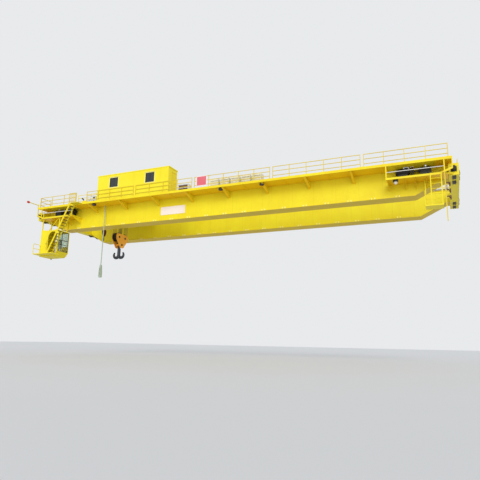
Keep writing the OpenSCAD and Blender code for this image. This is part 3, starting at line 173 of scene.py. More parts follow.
def lightStudio():
    setup = {"backdrop": linear(232, 234, 236), "fillColour": (0.97, 0.98, 1.0, 1), "fill": 0.66,
             "floorZ": -12.3, "floorHalf": 150, "floorRough": 0.85, "floorPatches": 0.05,
             "floorColours": (linear(218, 220, 222), linear(224, 226, 228))}
    suns = {"key": {"aim": (-0.30, 1.0, -0.50), "power": 1.05, "soft": 25},
            "low": {"aim": (-0.42, 1.0, -0.10), "power": 0.76, "soft": 40},
            "side": {"aim": (-0.9, 0.45, -0.2), "power": 0.3, "soft": 60}}
    world = bpy.data.worlds.new("studio")
    world.use_nodes = True
    bpy.context.scene.world = world
    bench = Bench("studio", world.node_tree)
    bench.tree.nodes.clear()
    path = bench.node("ShaderNodeLightPath", out="Is Camera Ray")
    seen = path
    for ray in ("Is Glossy Ray", "Is Transmission Ray"):
        seen = path.sum("MAXIMUM", seen, Signal(bench, path.socket.node.outputs[ray]))
    lamp = bench.node("ShaderNodeBackground", {}, {"Color": setup["fillColour"], "Strength": setup["fill"]})
    card = bench.node("ShaderNodeBackground", {}, {"Color": setup["backdrop"], "Strength": 1.0})
    both = bench.node("ShaderNodeMixShader", {}, {0: seen, 1: lamp, 2: card})
    bench.node("ShaderNodeOutputWorld", {}, {0: both})
    for name, sun in suns.items():
        lamp = bpy.data.lights.new(name, "SUN")
        lamp.energy = sun["power"]
        lamp.angle = math.radians(sun["soft"])
        holder = stand(name, lamp)
        holder.rotation_euler = Vector(sun["aim"]).to_track_quat("-Z", "Y").to_euler()
    half = setup["floorHalf"]
    corners = [(x * half, y * half, setup["floorZ"]) for x, y in ((-1, -1), (1, -1), (1, 1), (-1, 1))]
    sheet = bpy.data.meshes.new("floor")
    sheet.from_pydata(corners, [], [(0, 1, 2, 3)])
    floor = stand("floor", sheet)
    card = Bench("floorCard")
    card.finish(card.blend(card.noise(setup["floorPatches"]), *setup["floorColours"]), setup["floorRough"])
    sheet.materials.append(card.material)
    bpy.context.scene.view_settings.view_transform = "Standard"


# finishes

# faces that look down can be darkened and tinted as painted shade; runs, specks, seams and scuffs are dirt
# and wear
def enamel(name, colour, worn, downShade=0.35, gloss=0.5, seam=None, streaks=0.5, tread=False, tipped=None,
           shadeColourBelow=None):
    look = {"cloud": 0.45, "fine": 14, "runs": 2.4, "runStretch": (1, 1, 0.09), "speck": 55, "grain": 38,
            "patches": (0.42, 0.86), "runSpread": (0.56, 0.80), "speckSpread": (0.66, 0.74), "walked": 0.9,
            "dirtAndShade": (0.34, 0.27, 0.22), "seamDark": 0.24, "scuff": 0.3, "lift": 0.0022, "shine": 0.28}
    colour, worn = linear(*colour), linear(*worn)
    bench = Bench(name)
    x, y, z = bench.axes()
    cloud = bench.noise(look["cloud"], 4)
    fine = bench.noise(look["fine"], 3)
    coat = bench.blend((cloud * 0.9 + fine * 0.3).ramp(*look["patches"]), colour, worn)
    runs = bench.noise(look["runs"], 5, look["runStretch"]).ramp(*look["runSpread"]) * streaks
    facing = bench.facing()
    # painted shade: faces that look down are darkened, more so the further down they look
    downShadeMask = facing.ramp(0.1, -0.8) * downShade
    speck = bench.noise(look["speck"], 2).ramp(*look["speckSpread"]) * 0.30
    # a dark colour for dirt, also used for painted shade
    dirtAndShade = (*(part * share for part, share in zip(worn, look["dirtAndShade"])), 1)
    if shadeColourBelow:  # painted shade: a warmer tone on faces that look down
        coat = bench.blend(facing.ramp(0.0, -0.7), coat, linear(*shadeColourBelow))
    # dirt streaks, specks and the painted shade on faces that look down darken the coat
    coat = bench.blend((runs * 0.4 + downShadeMask + speck).ramp(0, 1), coat, dirtAndShade)
    height = bench.noise(look["grain"], 2) * 0.25
    if seam:  # welded joints every so many metres along the span
        bead = (x + seam["start"]).wrapped(seam["pitch"]).ramp(seam["width"], 0)
        coat = bench.blend(bead * look["seamDark"], coat, dirtAndShade)
        height = height + bead
    if tread:  # raised lugs and scuffed paint where it is walked on
        upward = facing.over(look["walked"])
        lugs = bench.lugs() * upward
        height = height + lugs
        coat = bench.blend(lugs * 0.35 + cloud.ramp(0.5, 0.7) * upward * look["scuff"], coat, dirtAndShade)
    if tipped:  # another colour past a place along one axis
        past = (x, y, z)[tipped["axis"]]
        past = past.over(tipped["from"]) if tipped["side"] > 0 else past.under(tipped["from"])
        tip = bench.blend(fine, linear(*tipped["colour"]), linear(*tipped["worn"]))
        coat = bench.blend(past, coat, tip)
    return bench.finish(coat, fine * 0.16 + (gloss - 0.08), height, look["lift"],
                        Specular_IOR_Level=look["shine"])


def steel(name, colour, dark, rough=0.42, metal=0.85, scale=9.0):
    bench = Bench(name)
    cloud = bench.noise(scale, 4)
    fine = bench.noise(scale * 9, 2, (1, 1, 0.2))
    coat = bench.blend((cloud + fine * 0.4).ramp(0.45, 0.95), linear(*colour), linear(*dark))
    return bench.finish(coat, cloud * 0.2 + (rough - 0.1), fine * 0.4, 0.0012, metal)


def wireRope(name):
    look = {"strands": 34.0, "groove": linear(52, 51, 50), "crest": linear(136, 133, 128), "lift": 0.004,
            "metal": 0.75}
    bench = Bench(name)
    # dark grooves and light crests along the strands: painted shade and painted highlight
    strands = bench.node("ShaderNodeTexWave", {"wave_type": "BANDS", "bands_direction": "DIAGONAL"}, {
        "Vector": bench.place(), "Scale": look["strands"], "Distortion": 0.6, "Detail": 1.0}, out="Fac")
    coat = bench.blend(strands, look["groove"], look["crest"])
    return bench.finish(coat, strands * -0.12 + 0.52, strands, look["lift"], look["metal"])


def rubberBlock(name):
    bench = Bench(name)
    grain = bench.noise(60, 3)
    return bench.finish(bench.blend(grain, linear(26, 26, 27), linear(48, 47, 46)), grain * 0.2 + 0.62,
                        grain, 0.001)


def windowGlass(name, tint, clear, haze=0.12, ripple=0.0008):
    bench = Bench(name)
    film = bench.noise(1.8, 4, (1, 1, 0.4))
    milky = (*(part * 1.35 for part in tint[:3]), 1)
    coat = bench.blend(film.ramp(0.4, 0.8), tint, milky)
    return bench.finish(coat, film * haze + 0.02, bench.noise(3, 1), ripple, IOR=1.5,
                        Transmission_Weight=clear)


def chequerPlate(name, colour, worn):
    bench = Bench(name)
    lugs = bench.lugs()
    cloud = bench.noise(1.4, 4)
    coat = bench.blend((cloud + lugs * 0.25).ramp(0.4, 0.9), colour, worn)
    return bench.finish(coat, cloud * 0.2 + 0.38, lugs, 0.0025)


yellow = (245, 229, 36)
yellowWorn = (236, 211, 26)
craneYellow = enamel("craneYellow", yellow, yellowWorn, downShade=0.05, streaks=0.25)
# girders and walkways get painted shade, a warmer tone, on faces that look down
girderYellow = enamel("girderYellow", yellow, yellowWorn, downShade=0.12, streaks=0.22,
                      shadeColourBelow=(222, 192, 24), seam={"start": 0.0, "pitch": 1.67, "width": 0.014})
walkYellow = enamel("walkYellow", yellow, (234, 200, 16), downShade=0.0, streaks=0.15, tread=True,
                    shadeColourBelow=(244, 198, 12), seam={"start": 0.4, "pitch": 3.34, "width": 0.010})
roomYellow = enamel("roomYellow", (246, 232, 48), (240, 220, 36), downShade=0.05, streaks=0.15,
                    seam={"start": 0.25, "pitch": 1.06, "width": 0.006})
# a pale yellow as painted highlight, for the girder lugs and the window trims that catch the light
lugYellow = enamel("lugYellow", (255, 250, 176), (252, 240, 130), downShade=0.0, streaks=0.0)
# the crane's yellow made darker as painted shade, so that railings, gate and grab bar stand apart from the
# yellow behind them
railYellow = enamel("railYellow", (232, 208, 58), (214, 186, 46), downShade=0.15, streaks=0.2)
armYellow = enamel("armYellow", yellow, yellowWorn, downShade=0.1, streaks=0.2,
                   tipped={"axis": 1, "from": -6.04, "side": -1, "colour": (206, 44, 34),
                           "worn": (176, 36, 28)})
# the same darker yellow as the railings, painted shade, for the collector pole
poleYellow = enamel("poleYellow", (232, 208, 58), (214, 186, 46), downShade=0.1, streaks=0.2,
                    tipped={"axis": 0, "from": 17.62, "side": 1, "colour": (96, 52, 26),
                            "worn": (60, 36, 22)})
treadPlate = chequerPlate("treadPlate", linear(120, 106, 44), linear(84, 76, 46))
darkEnamel = enamel("darkEnamel", (40, 41, 44), (60, 58, 54), gloss=0.42)
hoistEnamel = enamel("hoistEnamel", (118, 148, 160), (104, 126, 134), gloss=0.40)
creamEnamel = enamel("creamEnamel", (242, 237, 212), (226, 218, 188), downShade=0.1)
whiteEnamel = enamel("whiteEnamel", (236, 236, 233), (216, 216, 210), downShade=0.15)
orangeEnamel = enamel("orangeEnamel", (254, 186, 66), (238, 160, 46), downShade=0.0, streaks=0.3)
redEnamel = enamel("redEnamel", (112, 50, 36), (84, 40, 30), downShade=0.3)
boardWhite = enamel("boardWhite", (250, 240, 232), (240, 226, 214), downShade=0.1, streaks=0.2)
boardRed = enamel("boardRed", (222, 92, 104), (226, 128, 134), downShade=0.1, streaks=0.6)
panelBrown = enamel("panelBrown", (122, 84, 66), (94, 62, 48), downShade=0.2)
opalGlass = enamel("opalGlass", (226, 222, 208), (206, 200, 184), downShade=0.0, gloss=0.24,
                   streaks=0.1)
railSteel = steel("railSteel", (150, 140, 126), (96, 84, 70))
boltSteel = steel("boltSteel", (148, 142, 128), (98, 90, 76), 0.45, 0.8, 30)
wheelSteel = steel("wheelSteel", (120, 116, 110), (66, 60, 54), 0.45)
drumSteel = steel("drumSteel", (134, 130, 124), (70, 66, 60), 0.4, scale=5)
forgedSteel = steel("forgedSteel", (80, 85, 96), (44, 46, 53), 0.5, 0.55, 14)
sheaveBlack = enamel("sheaveBlack", (34, 34, 36), (54, 52, 50), gloss=0.4)
bufferRubber = rubberBlock("bufferRubber")
tintedGlass = windowGlass("tintedGlass", linear(52, 56, 56), 0.2)
cabGlass = windowGlass("cabGlass", linear(214, 226, 216), 0.94, 0.02, 0.0001)
greyRope = wireRope("greyRope")
cableGreen = steel("cableGreen", (176, 188, 164), (150, 164, 140), 0.55, 0.0, 24)
print("finishes made")


def paintNodes():
    finishes = {
        girderYellow: ["near_girder", "far_girder"],
        walkYellow: ["near_walkway", "far_walkway", "left_drive_platform", "right_drive_platform"],
        roomYellow: ["room_walls"], armYellow: ["collision_arm"], poleYellow: ["collector_pole"],
        railYellow: ["near_railing", "far_railing", "end_railings"],
        railSteel: ["trolley_rails"], wheelSteel: ["travel_wheels", "trolley_wheels"],
        drumSteel: ["main_drum"], bufferRubber: ["end_buffers"],
        darkEnamel: ["left_travel_drive", "right_travel_drive", "flood_lamps", "cab_frames"],
        hoistEnamel: ["main_hoist_drive", "aux_hoist", "trolley_drive"], tintedGlass: ["room_windows"],
        cabGlass: ["cab_glazing"], creamEnamel: ["resistor_boxes"],
        whiteEnamel: ["control_box", "air_conditioner", "guard_pipes", "cab_cabinet"],
        greyRope: ["rope_leads", "main_ropes", "aux_ropes"], orangeEnamel: ["main_block_plates"],
        sheaveBlack: ["main_sheaves", "upper_sheaves"], redEnamel: ["aux_block"],
        forgedSteel: ["main_hook", "aux_hook"], cableGreen: ["pendant_cable", "pendant_box"],
        treadPlate: ["stair_treads"],
    }
    for piece in nodes.values():
        paint(piece, craneYellow)
    for finish, names in finishes.items():
        for name in names:
            paint(nodes[name], finish)


def paint(piece, finish):
    piece.data.materials.clear()
    piece.data.materials.append(finish)


# mesh work

# collects boxes, bars and plates into one piece
class Shape:
    def __init__(self):
        self.mesh = bmesh.new()

    def box(self, low, high, soft=0.0):
        low, high = Vector(low), Vector(high)
        size = high - low
        place = Matrix.Translation((low + high) / 2) @ Matrix.Diagonal((*size, 1))
        return self.softened(bmesh.ops.create_cube(self.mesh, size=1, matrix=place), soft)

    def bar(self, start, end, radius, sides=12, tip=None, soft=0.0):
        start, end = Vector(start), Vector(end)
        run = end - start
        turn = run.to_track_quat("Z", "Y").to_matrix().to_4x4()
        place = Matrix.Translation((start + end) / 2) @ turn
        made = bmesh.ops.create_cone(self.mesh, cap_ends=True, segments=sides, radius1=radius,
                                     radius2=radius if tip is None else tip, depth=run.length, matrix=place)
        return self.softened(made, soft, 5)

    def softened(self, made, soft, least=4):  # rounds the edges of faces with so many corners or more
        edges = [e for e in {e for v in made["verts"] for e in v.link_edges}
                 if any(len(f.verts) >= least for f in e.link_faces)]
        if soft:
            bmesh.ops.bevel(self.mesh, geom=edges, offset=soft, segments=2, affect="EDGES", profile=0.5)
        return self

    def boxes(self, corners, soft):
        for low, high in corners:
            self.box(low, high, soft)
        return self

    def plate(self, outline, start, depth):  # outline of points, pushed along depth
        start, depth = Vector(start), Vector(depth)
        verts = [self.mesh.verts.new(start + Vector(p)) for p in outline]
        face = self.mesh.faces.new(verts)
        pushed = bmesh.ops.extrude_face_region(self.mesh, geom=[face])
        moved = [g for g in pushed["geom"] if isinstance(g, bmesh.types.BMVert)]
        bmesh.ops.translate(self.mesh, verts=moved, vec=depth)
        return self

    def lay(self, seed, tree, place, finish, **sizes):  # the seed shape, laid out by a tree
        flat = grown(seed, tree, finish, sizes)
        flat.transform(place)
        self.mesh.from_mesh(flat)
        bpy.data.meshes.remove(flat)
        return self

    def sideBox(self, side, low, high, soft):  # a box as it stands on one side of mid span
        a, b = sorted((side * low[0], side * high[0]))
        return self.box((a, *low[1:]), (b, *high[1:]), soft)

    def sideBar(self, side, start, end, *form):
        return self.bar((side * start[0], *start[1:]), (side * end[0], *end[1:]), *form)

    def rows(self, seed, place, finish, across, width, along=1, length=0.0):  # the seed in straight rows
        return self.lay(seed, inRows, place, finish, Across=across, Width=width, Along=along, Length=length,
                        Turn=0.0, Draw=1)

    def border(self, a, b, low, high, wide, front, rear, soft=0.0):  # four bars round an upright oblong
        runs = (((a, low), (b, low + wide)), ((a, high - wide), (b, high)),
                ((a, low + wide), (a + wide, high - wide)), ((b - wide, low + wide), (b, high - wide)))
        for one, two in runs:
            self.box((one[0], front, one[1]), (two[0], rear, two[1]), soft)
        return self

    def piece(self, name, finish, slot, body="bridge", smooth=False):
        bmesh.ops.recalc_face_normals(self.mesh, faces=self.mesh.faces)
        data = bpy.data.meshes.new(name)
        self.mesh.to_mesh(data)
        self.mesh.free()
        for face in data.polygons:
            face.use_smooth = smooth
            face.material_index = 0
        made = stand(name, data)
        data.materials.append(finish)
        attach(made, body)
        return made


def seat(at, out=(0, 0, 1), along=(1, 0, 0)):  # a place with its own up and sideways directions
    up, side = Vector(out).normalized(), Vector(along).normalized()
    return Matrix.Translation(at) @ Matrix((side, up.cross(side), up)).transposed().to_4x4()


# geometry trees that lay a seed shape out
def startTree(name, sockets):
    tree = bpy.data.node_groups.new(name, "GeometryNodeTree")
    tree.interface.new_socket("Seed", in_out="INPUT", socket_type="NodeSocketGeometry")
    for label, kind in sockets.items():
        tree.interface.new_socket(label, in_out="INPUT", socket_type="NodeSocket" + kind)
    tree.interface.new_socket("Finish", in_out="INPUT", socket_type="NodeSocketMaterial")
    tree.interface.new_socket("Grown", in_out="OUTPUT", socket_type="NodeSocketGeometry")
    bench = Bench(name, tree)
    outs = bench.node("NodeGroupInput").socket.node.outputs
    return bench, {o.name: Signal(bench, o) for o in outs if o.name}


def endTree(bench, grownShape, finish):
    real = bench.node("GeometryNodeRealizeInstances", {}, {0: grownShape})
    done = bench.node("GeometryNodeSetMaterial", {}, {"Geometry": real, "Material": finish})
    bench.node("NodeGroupOutput", {}, {0: done})
    return bench.tree


def setOut(bench, put, points, angle):  # the seed on every point, turned by the angle
    spin = bench.node("ShaderNodeCombineXYZ", {}, {"Z": angle})
    spin = bench.node("FunctionNodeEulerToRotation", {}, {0: spin})
    laid = bench.node("GeometryNodeInstanceOnPoints", {}, {
        "Points": points, "Instance": put["Seed"], "Rotation": spin})
    return endTree(bench, laid, put["Finish"])


def gridTree():
    bench, put = startTree("layInRows", {
        "Across": "Int", "Width": "Float", "Along": "Int", "Length": "Float", "Turn": "Float", "Draw": "Int"})
    points = bench.node("GeometryNodeMeshGrid", {}, {
        "Size X": put["Width"], "Size Y": put["Length"],
        "Vertices X": put["Across"], "Vertices Y": put["Along"]})
    angle = bench.node("FunctionNodeRandomValue", {"data_type": "FLOAT"},
                       {2: 0.0, 3: put["Turn"], "Seed": put["Draw"]}, out=1)
    return setOut(bench, put, points, angle)


def ringTree():
    bench, put = startTree("layInRing", {"Count": "Int", "Radius": "Float"})
    points = bench.node("GeometryNodeMeshCircle", {"fill_type": "NONE"}, {
        "Vertices": put["Count"], "Radius": put["Radius"]})
    angle = bench.node("GeometryNodeInputIndex") * (2 * math.pi) / put["Count"]
    return setOut(bench, put, points, angle)


def windingTree():  # rope wound on a drum, its axis along Z
    bench, put = startTree("windRope", {
        "Turns": "Float", "Radius": "Float", "Rise": "Float", "Rope": "Float"})
    path = bench.node("GeometryNodeCurveSpiral", {}, {
        "Resolution": 40, "Rotations": put["Turns"], "Start Radius": put["Radius"],
        "End Radius": put["Radius"], "Height": put["Rise"]})
    ring = bench.node("GeometryNodeCurvePrimitiveCircle", {"mode": "RADIUS"},
                      {"Resolution": 6, "Radius": put["Rope"]})
    tube = bench.node("GeometryNodeCurveToMesh", {}, {
        "Curve": path, "Profile Curve": ring, "Fill Caps": True})
    return endTree(bench, tube, put["Finish"])


def grown(seed, tree, finish, sizes):
    sheet = bpy.data.meshes.new("seed")
    seed.mesh.to_mesh(sheet)
    holder = stand("seed", sheet)
    grow = holder.modifiers.new("grow", "NODES")
    grow.node_group = tree
    ids = {item.name: item.identifier for item in tree.interface.items_tree if item.in_out == "INPUT"}
    for label, value in sizes.items():
        grow[ids[label]] = value
    grow[ids["Finish"]] = finish
    flat = bpy.data.meshes.new_from_object(holder.evaluated_get(bpy.context.evaluated_depsgraph_get()))
    holder.modifiers.clear()
    bpy.data.objects.remove(holder)
    bpy.data.meshes.remove(sheet)
    return flat


inRows, inRing, inTurns = gridTree(), ringTree(), windingTree()


def boltSeed(size):  # washer and six-sided head, standing on Z
    return (Shape().bar((0, 0, 0), (0, 0, size * 0.18), size, 12)
            .bar((0, 0, size * 0.18), (0, 0, size * 0.85), size * 0.78, 6, size * 0.70))


def boltRows(shape, at, out, across, width, rows, length, size, along=(1, 0, 0)):
    shape.lay(boltSeed(size), inRows, seat(at, out, along), boltSteel, Across=across, Width=width,
              Along=rows, Length=length, Turn=3.1, Draw=7)


def boltRing(shape, at, way, count, radius, size):  # on a face that looks along X
    place = seat(at, (way, 0, 0), (0, 0, 1))
    shape.lay(boltSeed(size), inRing, place, boltSteel, Count=count, Radius=radius)


def disc(shape, at, way, deep, wide, sides, soft=0.0):  # a round cap on such a face
    end = (at[0] + way * deep, *at[1:])
    shape.bar(at, end, wide, sides, None, soft)
    return end


def girderLugs():
    setup = {"pitch": 1.67, "gap": 0.11, "reach": 0.08, "tall": 0.12, "thick": 0.07, "top": -0.776}
    rows = {"near_girder_lugs": {"first": -15.68, "count": 19, "faces": ((-3.47, -1), (-2.39, 1))},
            "far_girder_lugs": {"first": -14.53, "count": 18, "faces": ((3.47, 1), (2.39, -1))}}
    seed = Shape()
    w, t = setup["reach"], setup["tall"]
    for x in (-setup["gap"], setup["gap"]):
        seed.plate([(0, 0, 0), (0, w, 0), (0, w, t * 0.35), (0, w * 0.4, t), (0, 0, t)], (x, 0, 0),
                   (setup["thick"], 0, 0))
    for name, row in rows.items():
        shape = Shape()
        width = (row["count"] - 1) * setup["pitch"]
        for y, way in row["faces"]:
            place = seat((row["first"] + width / 2, y, setup["top"]), (0, 0, 1), (way, 0, 0))
            # the lugs in pale yellow, painted highlight
            shape.rows(seed, place, lugYellow, row["count"], width)
        shape.piece(name, lugYellow, slot="yellow_paint")


def railClips():
    setup = {"rail": 2.45, "foot": 0.082, "half": 17.2, "count": 44, "top": 1.16, "bolt": 0.016}
    seed = Shape().box((-0.03, -0.03, 0), (0.03, 0.03, 0.02), 0.004)
    seed.bar((0, 0, 0.02), (0, 0, 0.024), setup["bolt"], 10)
    seed.bar((0, 0, 0.024), (0, 0, 0.038), setup["bolt"] * 0.8, 6)
    shape = Shape()
    for y in (-setup["rail"], setup["rail"]):
        shape.rows(seed, seat((0, y, setup["top"])), boltSteel, setup["count"], 2 * setup["half"], 2,
                   2 * setup["foot"])
    shape.piece("rail_clips", boltSteel, slot="rail_steel")


def girderEndBolts():
    setup = {"rail": 18.0, "girders": (-2.93, 2.93), "halfWeb": 0.54, "top": 1.16, "webRow": 1.02,
             "topCount": (3, 0.44, 7, 1.08, 0.026), "webCount": (5, 0.5, 1, 0.0, 0.026)}
    shape = Shape()
    for x in (-setup["rail"], setup["rail"]):
        for y in setup["girders"]:
            boltRows(shape, (x, y, setup["top"]), (0, 0, 1), *setup["topCount"])
            for side in (-1, 1):  # splice rows on the webs
                web = (x, y + side * setup["halfWeb"], setup["webRow"])
                boltRows(shape, web, (0, side, 0), *setup["webCount"])
    shape.piece("girder_end_bolts", boltSteel, slot="rail_steel")


def carriageFittings():
    setup = {"axles": (-3.78, -2.70, 2.70, 3.78), "z": 0.40, "faces": ((18.32, 1), (17.68, -1)),
             "cap": (0.03, 0.17, 28, 0.006), "boss": (0.02, 0.10, 24, 0.006), "ring": (8, 0.137, 0.018),
             "buffer": (18.0, 4.39, 0.51), "bufferBolts": (2, 0.29, 2, 0.29, 0.02),
             "plate": (0.30, 0.33), "plateForm": (0.138, 28, None, 0.008)}
    bx, by, bz = setup["buffer"]
    near, far = setup["plate"]
    for name, side in (("left", -1), ("right", 1)):
        caps, bolts = Shape(), Shape()
        for y in setup["axles"]:
            for x, way in setup["faces"]:
                rim = disc(caps, (x * side, y, setup["z"]), way * side, *setup["cap"])
                disc(caps, rim, way * side, *setup["boss"])
                boltRing(bolts, rim, way * side, *setup["ring"])
        for way in (-1, 1):
            x, y = bx * side, by * way
            boltRows(bolts, (x, y, bz), (0, way, 0), *setup["bufferBolts"])
            caps.bar((x, y + way * near, bz), (x, y + way * far, bz), *setup["plateForm"])
        caps.piece(name + "_carriage_caps", darkEnamel, slot="dark_paint")
        bolts.piece(name + "_carriage_bolts", boltSteel, slot="rail_steel")


def motorFittings(dark, bright, side, y, z):
    setup = {"middle": 14.79, "fin": ((-0.008, -0.0035, -0.36), (0.030, 0.0035, 0.36)),
             "fins": {"Count": 34, "Radius": 0.206}, "cowl": 14.33, "hub": (0.02, 0.045, 20, 0.004),
             "rib": ((-0.05, -0.006, 0), (0.05, 0.006, 0.012)), "ribs": {"Count": 18, "Radius": 0.105},
             "ends": (14.42, 15.15), "end": (0.02, 0.235, 36, 0.004), "glands": (14.95, 15.09),
             "gland": ((-3.89, 1.08), (-3.94, 1.08)),
             "lid": ((14.885, -3.905, 1.135), (15.155, -3.655, 1.160)), "lidBolts": (15.02, 1.17),
             "lidCount": (2, 0.19, 2, 0.17, 0.011), "face": 15.17,
             "faceRing": (8, 0.19, 0.014)}
    place = seat((side * setup["middle"], y, z), (1, 0, 0), (0, 0, 1))
    dark.lay(Shape().box(*setup["fin"]), inRing, place, darkEnamel, **setup["fins"])
    cowl = (side * setup["cowl"], y, z)
    dark.lay(Shape().box(*setup["rib"]), inRing, seat(cowl, (-side, 0, 0), (0, 0, 1)), darkEnamel,
             **setup["ribs"])
    disc(dark, cowl, -side, *setup["hub"])
    for x in setup["ends"]:
        disc(dark, (side * x, y, z), side, *setup["end"])
    dark.sideBox(side, *setup["lid"], 0.006)
    near, far = setup["gland"]
    for x in setup["glands"]:  # under the terminal box
        dark.sideBar(side, (x, *near), (x, *far), 0.022, 14)
    x, top = setup["lidBolts"]
    boltRows(bright, (side * x, y, top), (0, 0, 1), *setup["lidCount"])
    boltRing(bright, (side * setup["face"], y, z), side, *setup["faceRing"])


def gearFittings(dark, bright, side, y, z):
    setup = {"split": (16.275, 0.755), "splitBolts": (6, 0.60, 2, 0.455, 0.017),
             "faces": ((15.95, -1), (16.60, 1)), "cap": (0.02, 0.15, 28, 0.005), "ring": (6, 0.125, 0.014),
             "breather": (((16.28, -3.78, 1.06), (16.28, -3.78, 1.10), 0.035, 14),
                          ((16.28, -3.78, 1.10), (16.28, -3.78, 1.13), 0.05, 14, 0.03)),
             "coupling": 15.82, "couplingRing": (6, 0.09, 0.013), "shaft": (17.02, 0.40),
             "shaftRing": (8, 0.10, 0.014), "rims": (15.335, 15.485), "rim": (0.01, 0.166, 32)}
    x, split = setup["split"]
    boltRows(bright, (side * x, y, split), (0, 0, 1), *setup["splitBolts"])
    for x, way in setup["faces"]:
        rim = disc(dark, (side * x, y, z), side * way, *setup["cap"])
        boltRing(bright, rim, side * way, *setup["ring"])
    for bar in setup["breather"]:
        dark.sideBar(side, *bar)
    boltRing(bright, (side * setup["coupling"], y, z), -side, *setup["couplingRing"])
    x, low = setup["shaft"]
    boltRing(bright, (side * x, y, low), -side, *setup["shaftRing"])
    for x in setup["rims"]:  # bright rims of the brake drum
        disc(bright, (side * x, y, z), side, *setup["rim"])


def driveFittings():
    setup = {"axis": (-3.78, 0.85), "lever": ((15.385, -3.97, 1.09), (15.445, -3.58, 1.12)),
             "thruster": (((15.415, -3.97, 0.98), (15.415, -3.97, 1.24), 0.05, 18, None, 0.008),
                          ((15.415, -3.97, 1.24), (15.415, -3.97, 1.27), 0.028, 14))}
    for name, side in (("left", -1), ("right", 1)):
        dark, bright, brake = Shape(), Shape(), Shape()
        for fitOut in (motorFittings, gearFittings):
            fitOut(dark, bright, side, *setup["axis"])
        dark.piece(name + "_drive_fins", darkEnamel, slot="dark_paint")
        bright.piece(name + "_drive_bolts", boltSteel, slot="rail_steel")
        for bar in setup["thruster"]:
            brake.sideBar(side, *bar)
        brake.sideBox(side, *setup["lever"], 0.006)
        brake.piece(name + "_brake_thruster", redEnamel, slot="aux_red")


def lampDrum(shape, x, y, top, wide):
    setup = {"foot": (0.07, 0.03, 0.012),
             "rings": ((0.012, 0.05, 0.018, 10), (0.05, 0.09, wide, 28, wide / 2, 0.006),
                       (0.09, 0.20, wide, 28, None, 0.01))}
    long, half, thick = setup["foot"]
    shape.box((x - long, y - half, top - thick), (x + long, y + half, top), 0.004)
    for near, far, *form in setup["rings"]:
        shape.bar((x, y, top - near), (x, y, top - far), *form)


def lampBowl(shape, x, y, top, wide, deep):  # bulging glass below the drum
    setup = {"rim": 0.198, "bands": 5, "least": 0.012}
    rim = top - setup["rim"]
    step = math.pi / 2 / setup["bands"]
    for k in range(setup["bands"]):
        near, far = step * k, step * (k + 1)
        tip = max(wide * math.cos(far), setup["least"])
        shape.bar((x, y, rim - deep * math.sin(near)), (x, y, rim - deep * math.sin(far)),
                  wide * math.cos(near), 24, tip)


def floodLamps():
    setup = {"y": -4.6, "drum": 0.18, "flat": (0.145, 0.04), "full": (0.145, 0.16), "extra": (4.62, 1.10),
             "flatLamps": ((-11.5, 1.10), (1.13, 1.10)), "fullLamp": (14.35, 0.16)}
    drums, bowls, lenses, extra = Shape(), Shape(), Shape(), Shape()
    for x, top in (*setup["flatLamps"], setup["fullLamp"]):
        lampDrum(drums, x, setup["y"], top, setup["drum"])
    housing = drums.piece("lamp_housings", darkEnamel, slot="dark_paint")
    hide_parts("flood_lamps")
    x, top = setup["fullLamp"]
    lampBowl(bowls, x, setup["y"], top, *setup["full"])
    bowls.piece("lamp_bowls", opalGlass, slot="white_paint", smooth=True)
    for x, top in (*setup["flatLamps"], setup["extra"]):
        lampBowl(lenses, x, setup["y"], top, *setup["flat"])
    lenses.piece("lamp_lenses", panelBrown, slot="dark_glass", smooth=True)
    x, top = setup["extra"]
    lampDrum(extra, x, setup["y"], top, setup["drum"])
    extra.piece("bracket_lamp", darkEnamel, slot="dark_paint")


def driveCovers():  # over the walkway's wells, open round the tall parts of the drive
    setup = {"x": (13.76, 16.94), "y": (-4.835, -3.556), "z": (1.13, 1.142), "strip": (-4.04, -3.64),
             "holes": ((14.86, 15.18), (15.34, 15.49), (16.24, 16.32)),
             "sill": (15.34, 15.49, -3.90, -3.64), "grips": (14.0, 15.9), "gripY": -4.45,
             "gripHalf": 0.07, "gripTop": 1.19, "rod": 0.008}
    x0, x1 = setup["x"]
    y0, y1 = setup["y"]
    low, high = setup["z"]
    front, rear = setup["strip"]
    runs = [(x0, x1, y0, front), (x0, x1, rear, y1), setup["sill"]]
    ends = [x0, *(x for hole in setup["holes"] for x in hole), x1]
    runs += [(a, b, front, rear) for a, b in zip(ends[::2], ends[1::2])]
    shape, grips = Shape(), Shape()
    y, top, rod = setup["gripY"], setup["gripTop"], setup["rod"]
    for side in (-1, 1):
        for a, b, near, far in runs:
            shape.sideBox(side, (a, near, low), (b, far, high), 0.003)
        for x in setup["grips"]:
            left, right = side * x - setup["gripHalf"], side * x + setup["gripHalf"]
            for leg in (left, right):
                grips.bar((leg, y, high), (leg, y, top), rod, 10)
            grips.bar((left - rod, y, top), (right + rod, y, top), rod, 10)
    shape.piece("drive_covers", roomYellow, slot="yellow_paint")
    grips.piece("cover_grips", boltSteel, slot="rail_steel")


def blockFittings():
    setup = {"x": -12.02, "plate": 0.286, "cap": (0.036, 0.098, 28, 0.006), "ring": (6, 0.07, 0.012),
             "shafts": ((-0.44, -1.10), (0.44, -1.10), (0, -1.81)), "tie": (1, 0.0, 1, 0.0, 0.034),
             "ties": ((-0.70, -0.85), (0.70, -0.85), (-0.30, -1.98), (0.30, -1.98))}
    caps = Shape()
    for way in (-1, 1):
        plate = setup["x"] + way * setup["plate"]
        for y, z in setup["shafts"]:
            rim = disc(caps, (plate, y, z), way, *setup["cap"])
            boltRing(caps, rim, way, *setup["ring"])
        for y, z in setup["ties"]:
            boltRows(caps, (plate, y, z), (way, 0, 0), *setup["tie"], along=(0, 1, 0))
    caps.piece("block_caps", darkEnamel, body="main_block", slot="dark_paint")


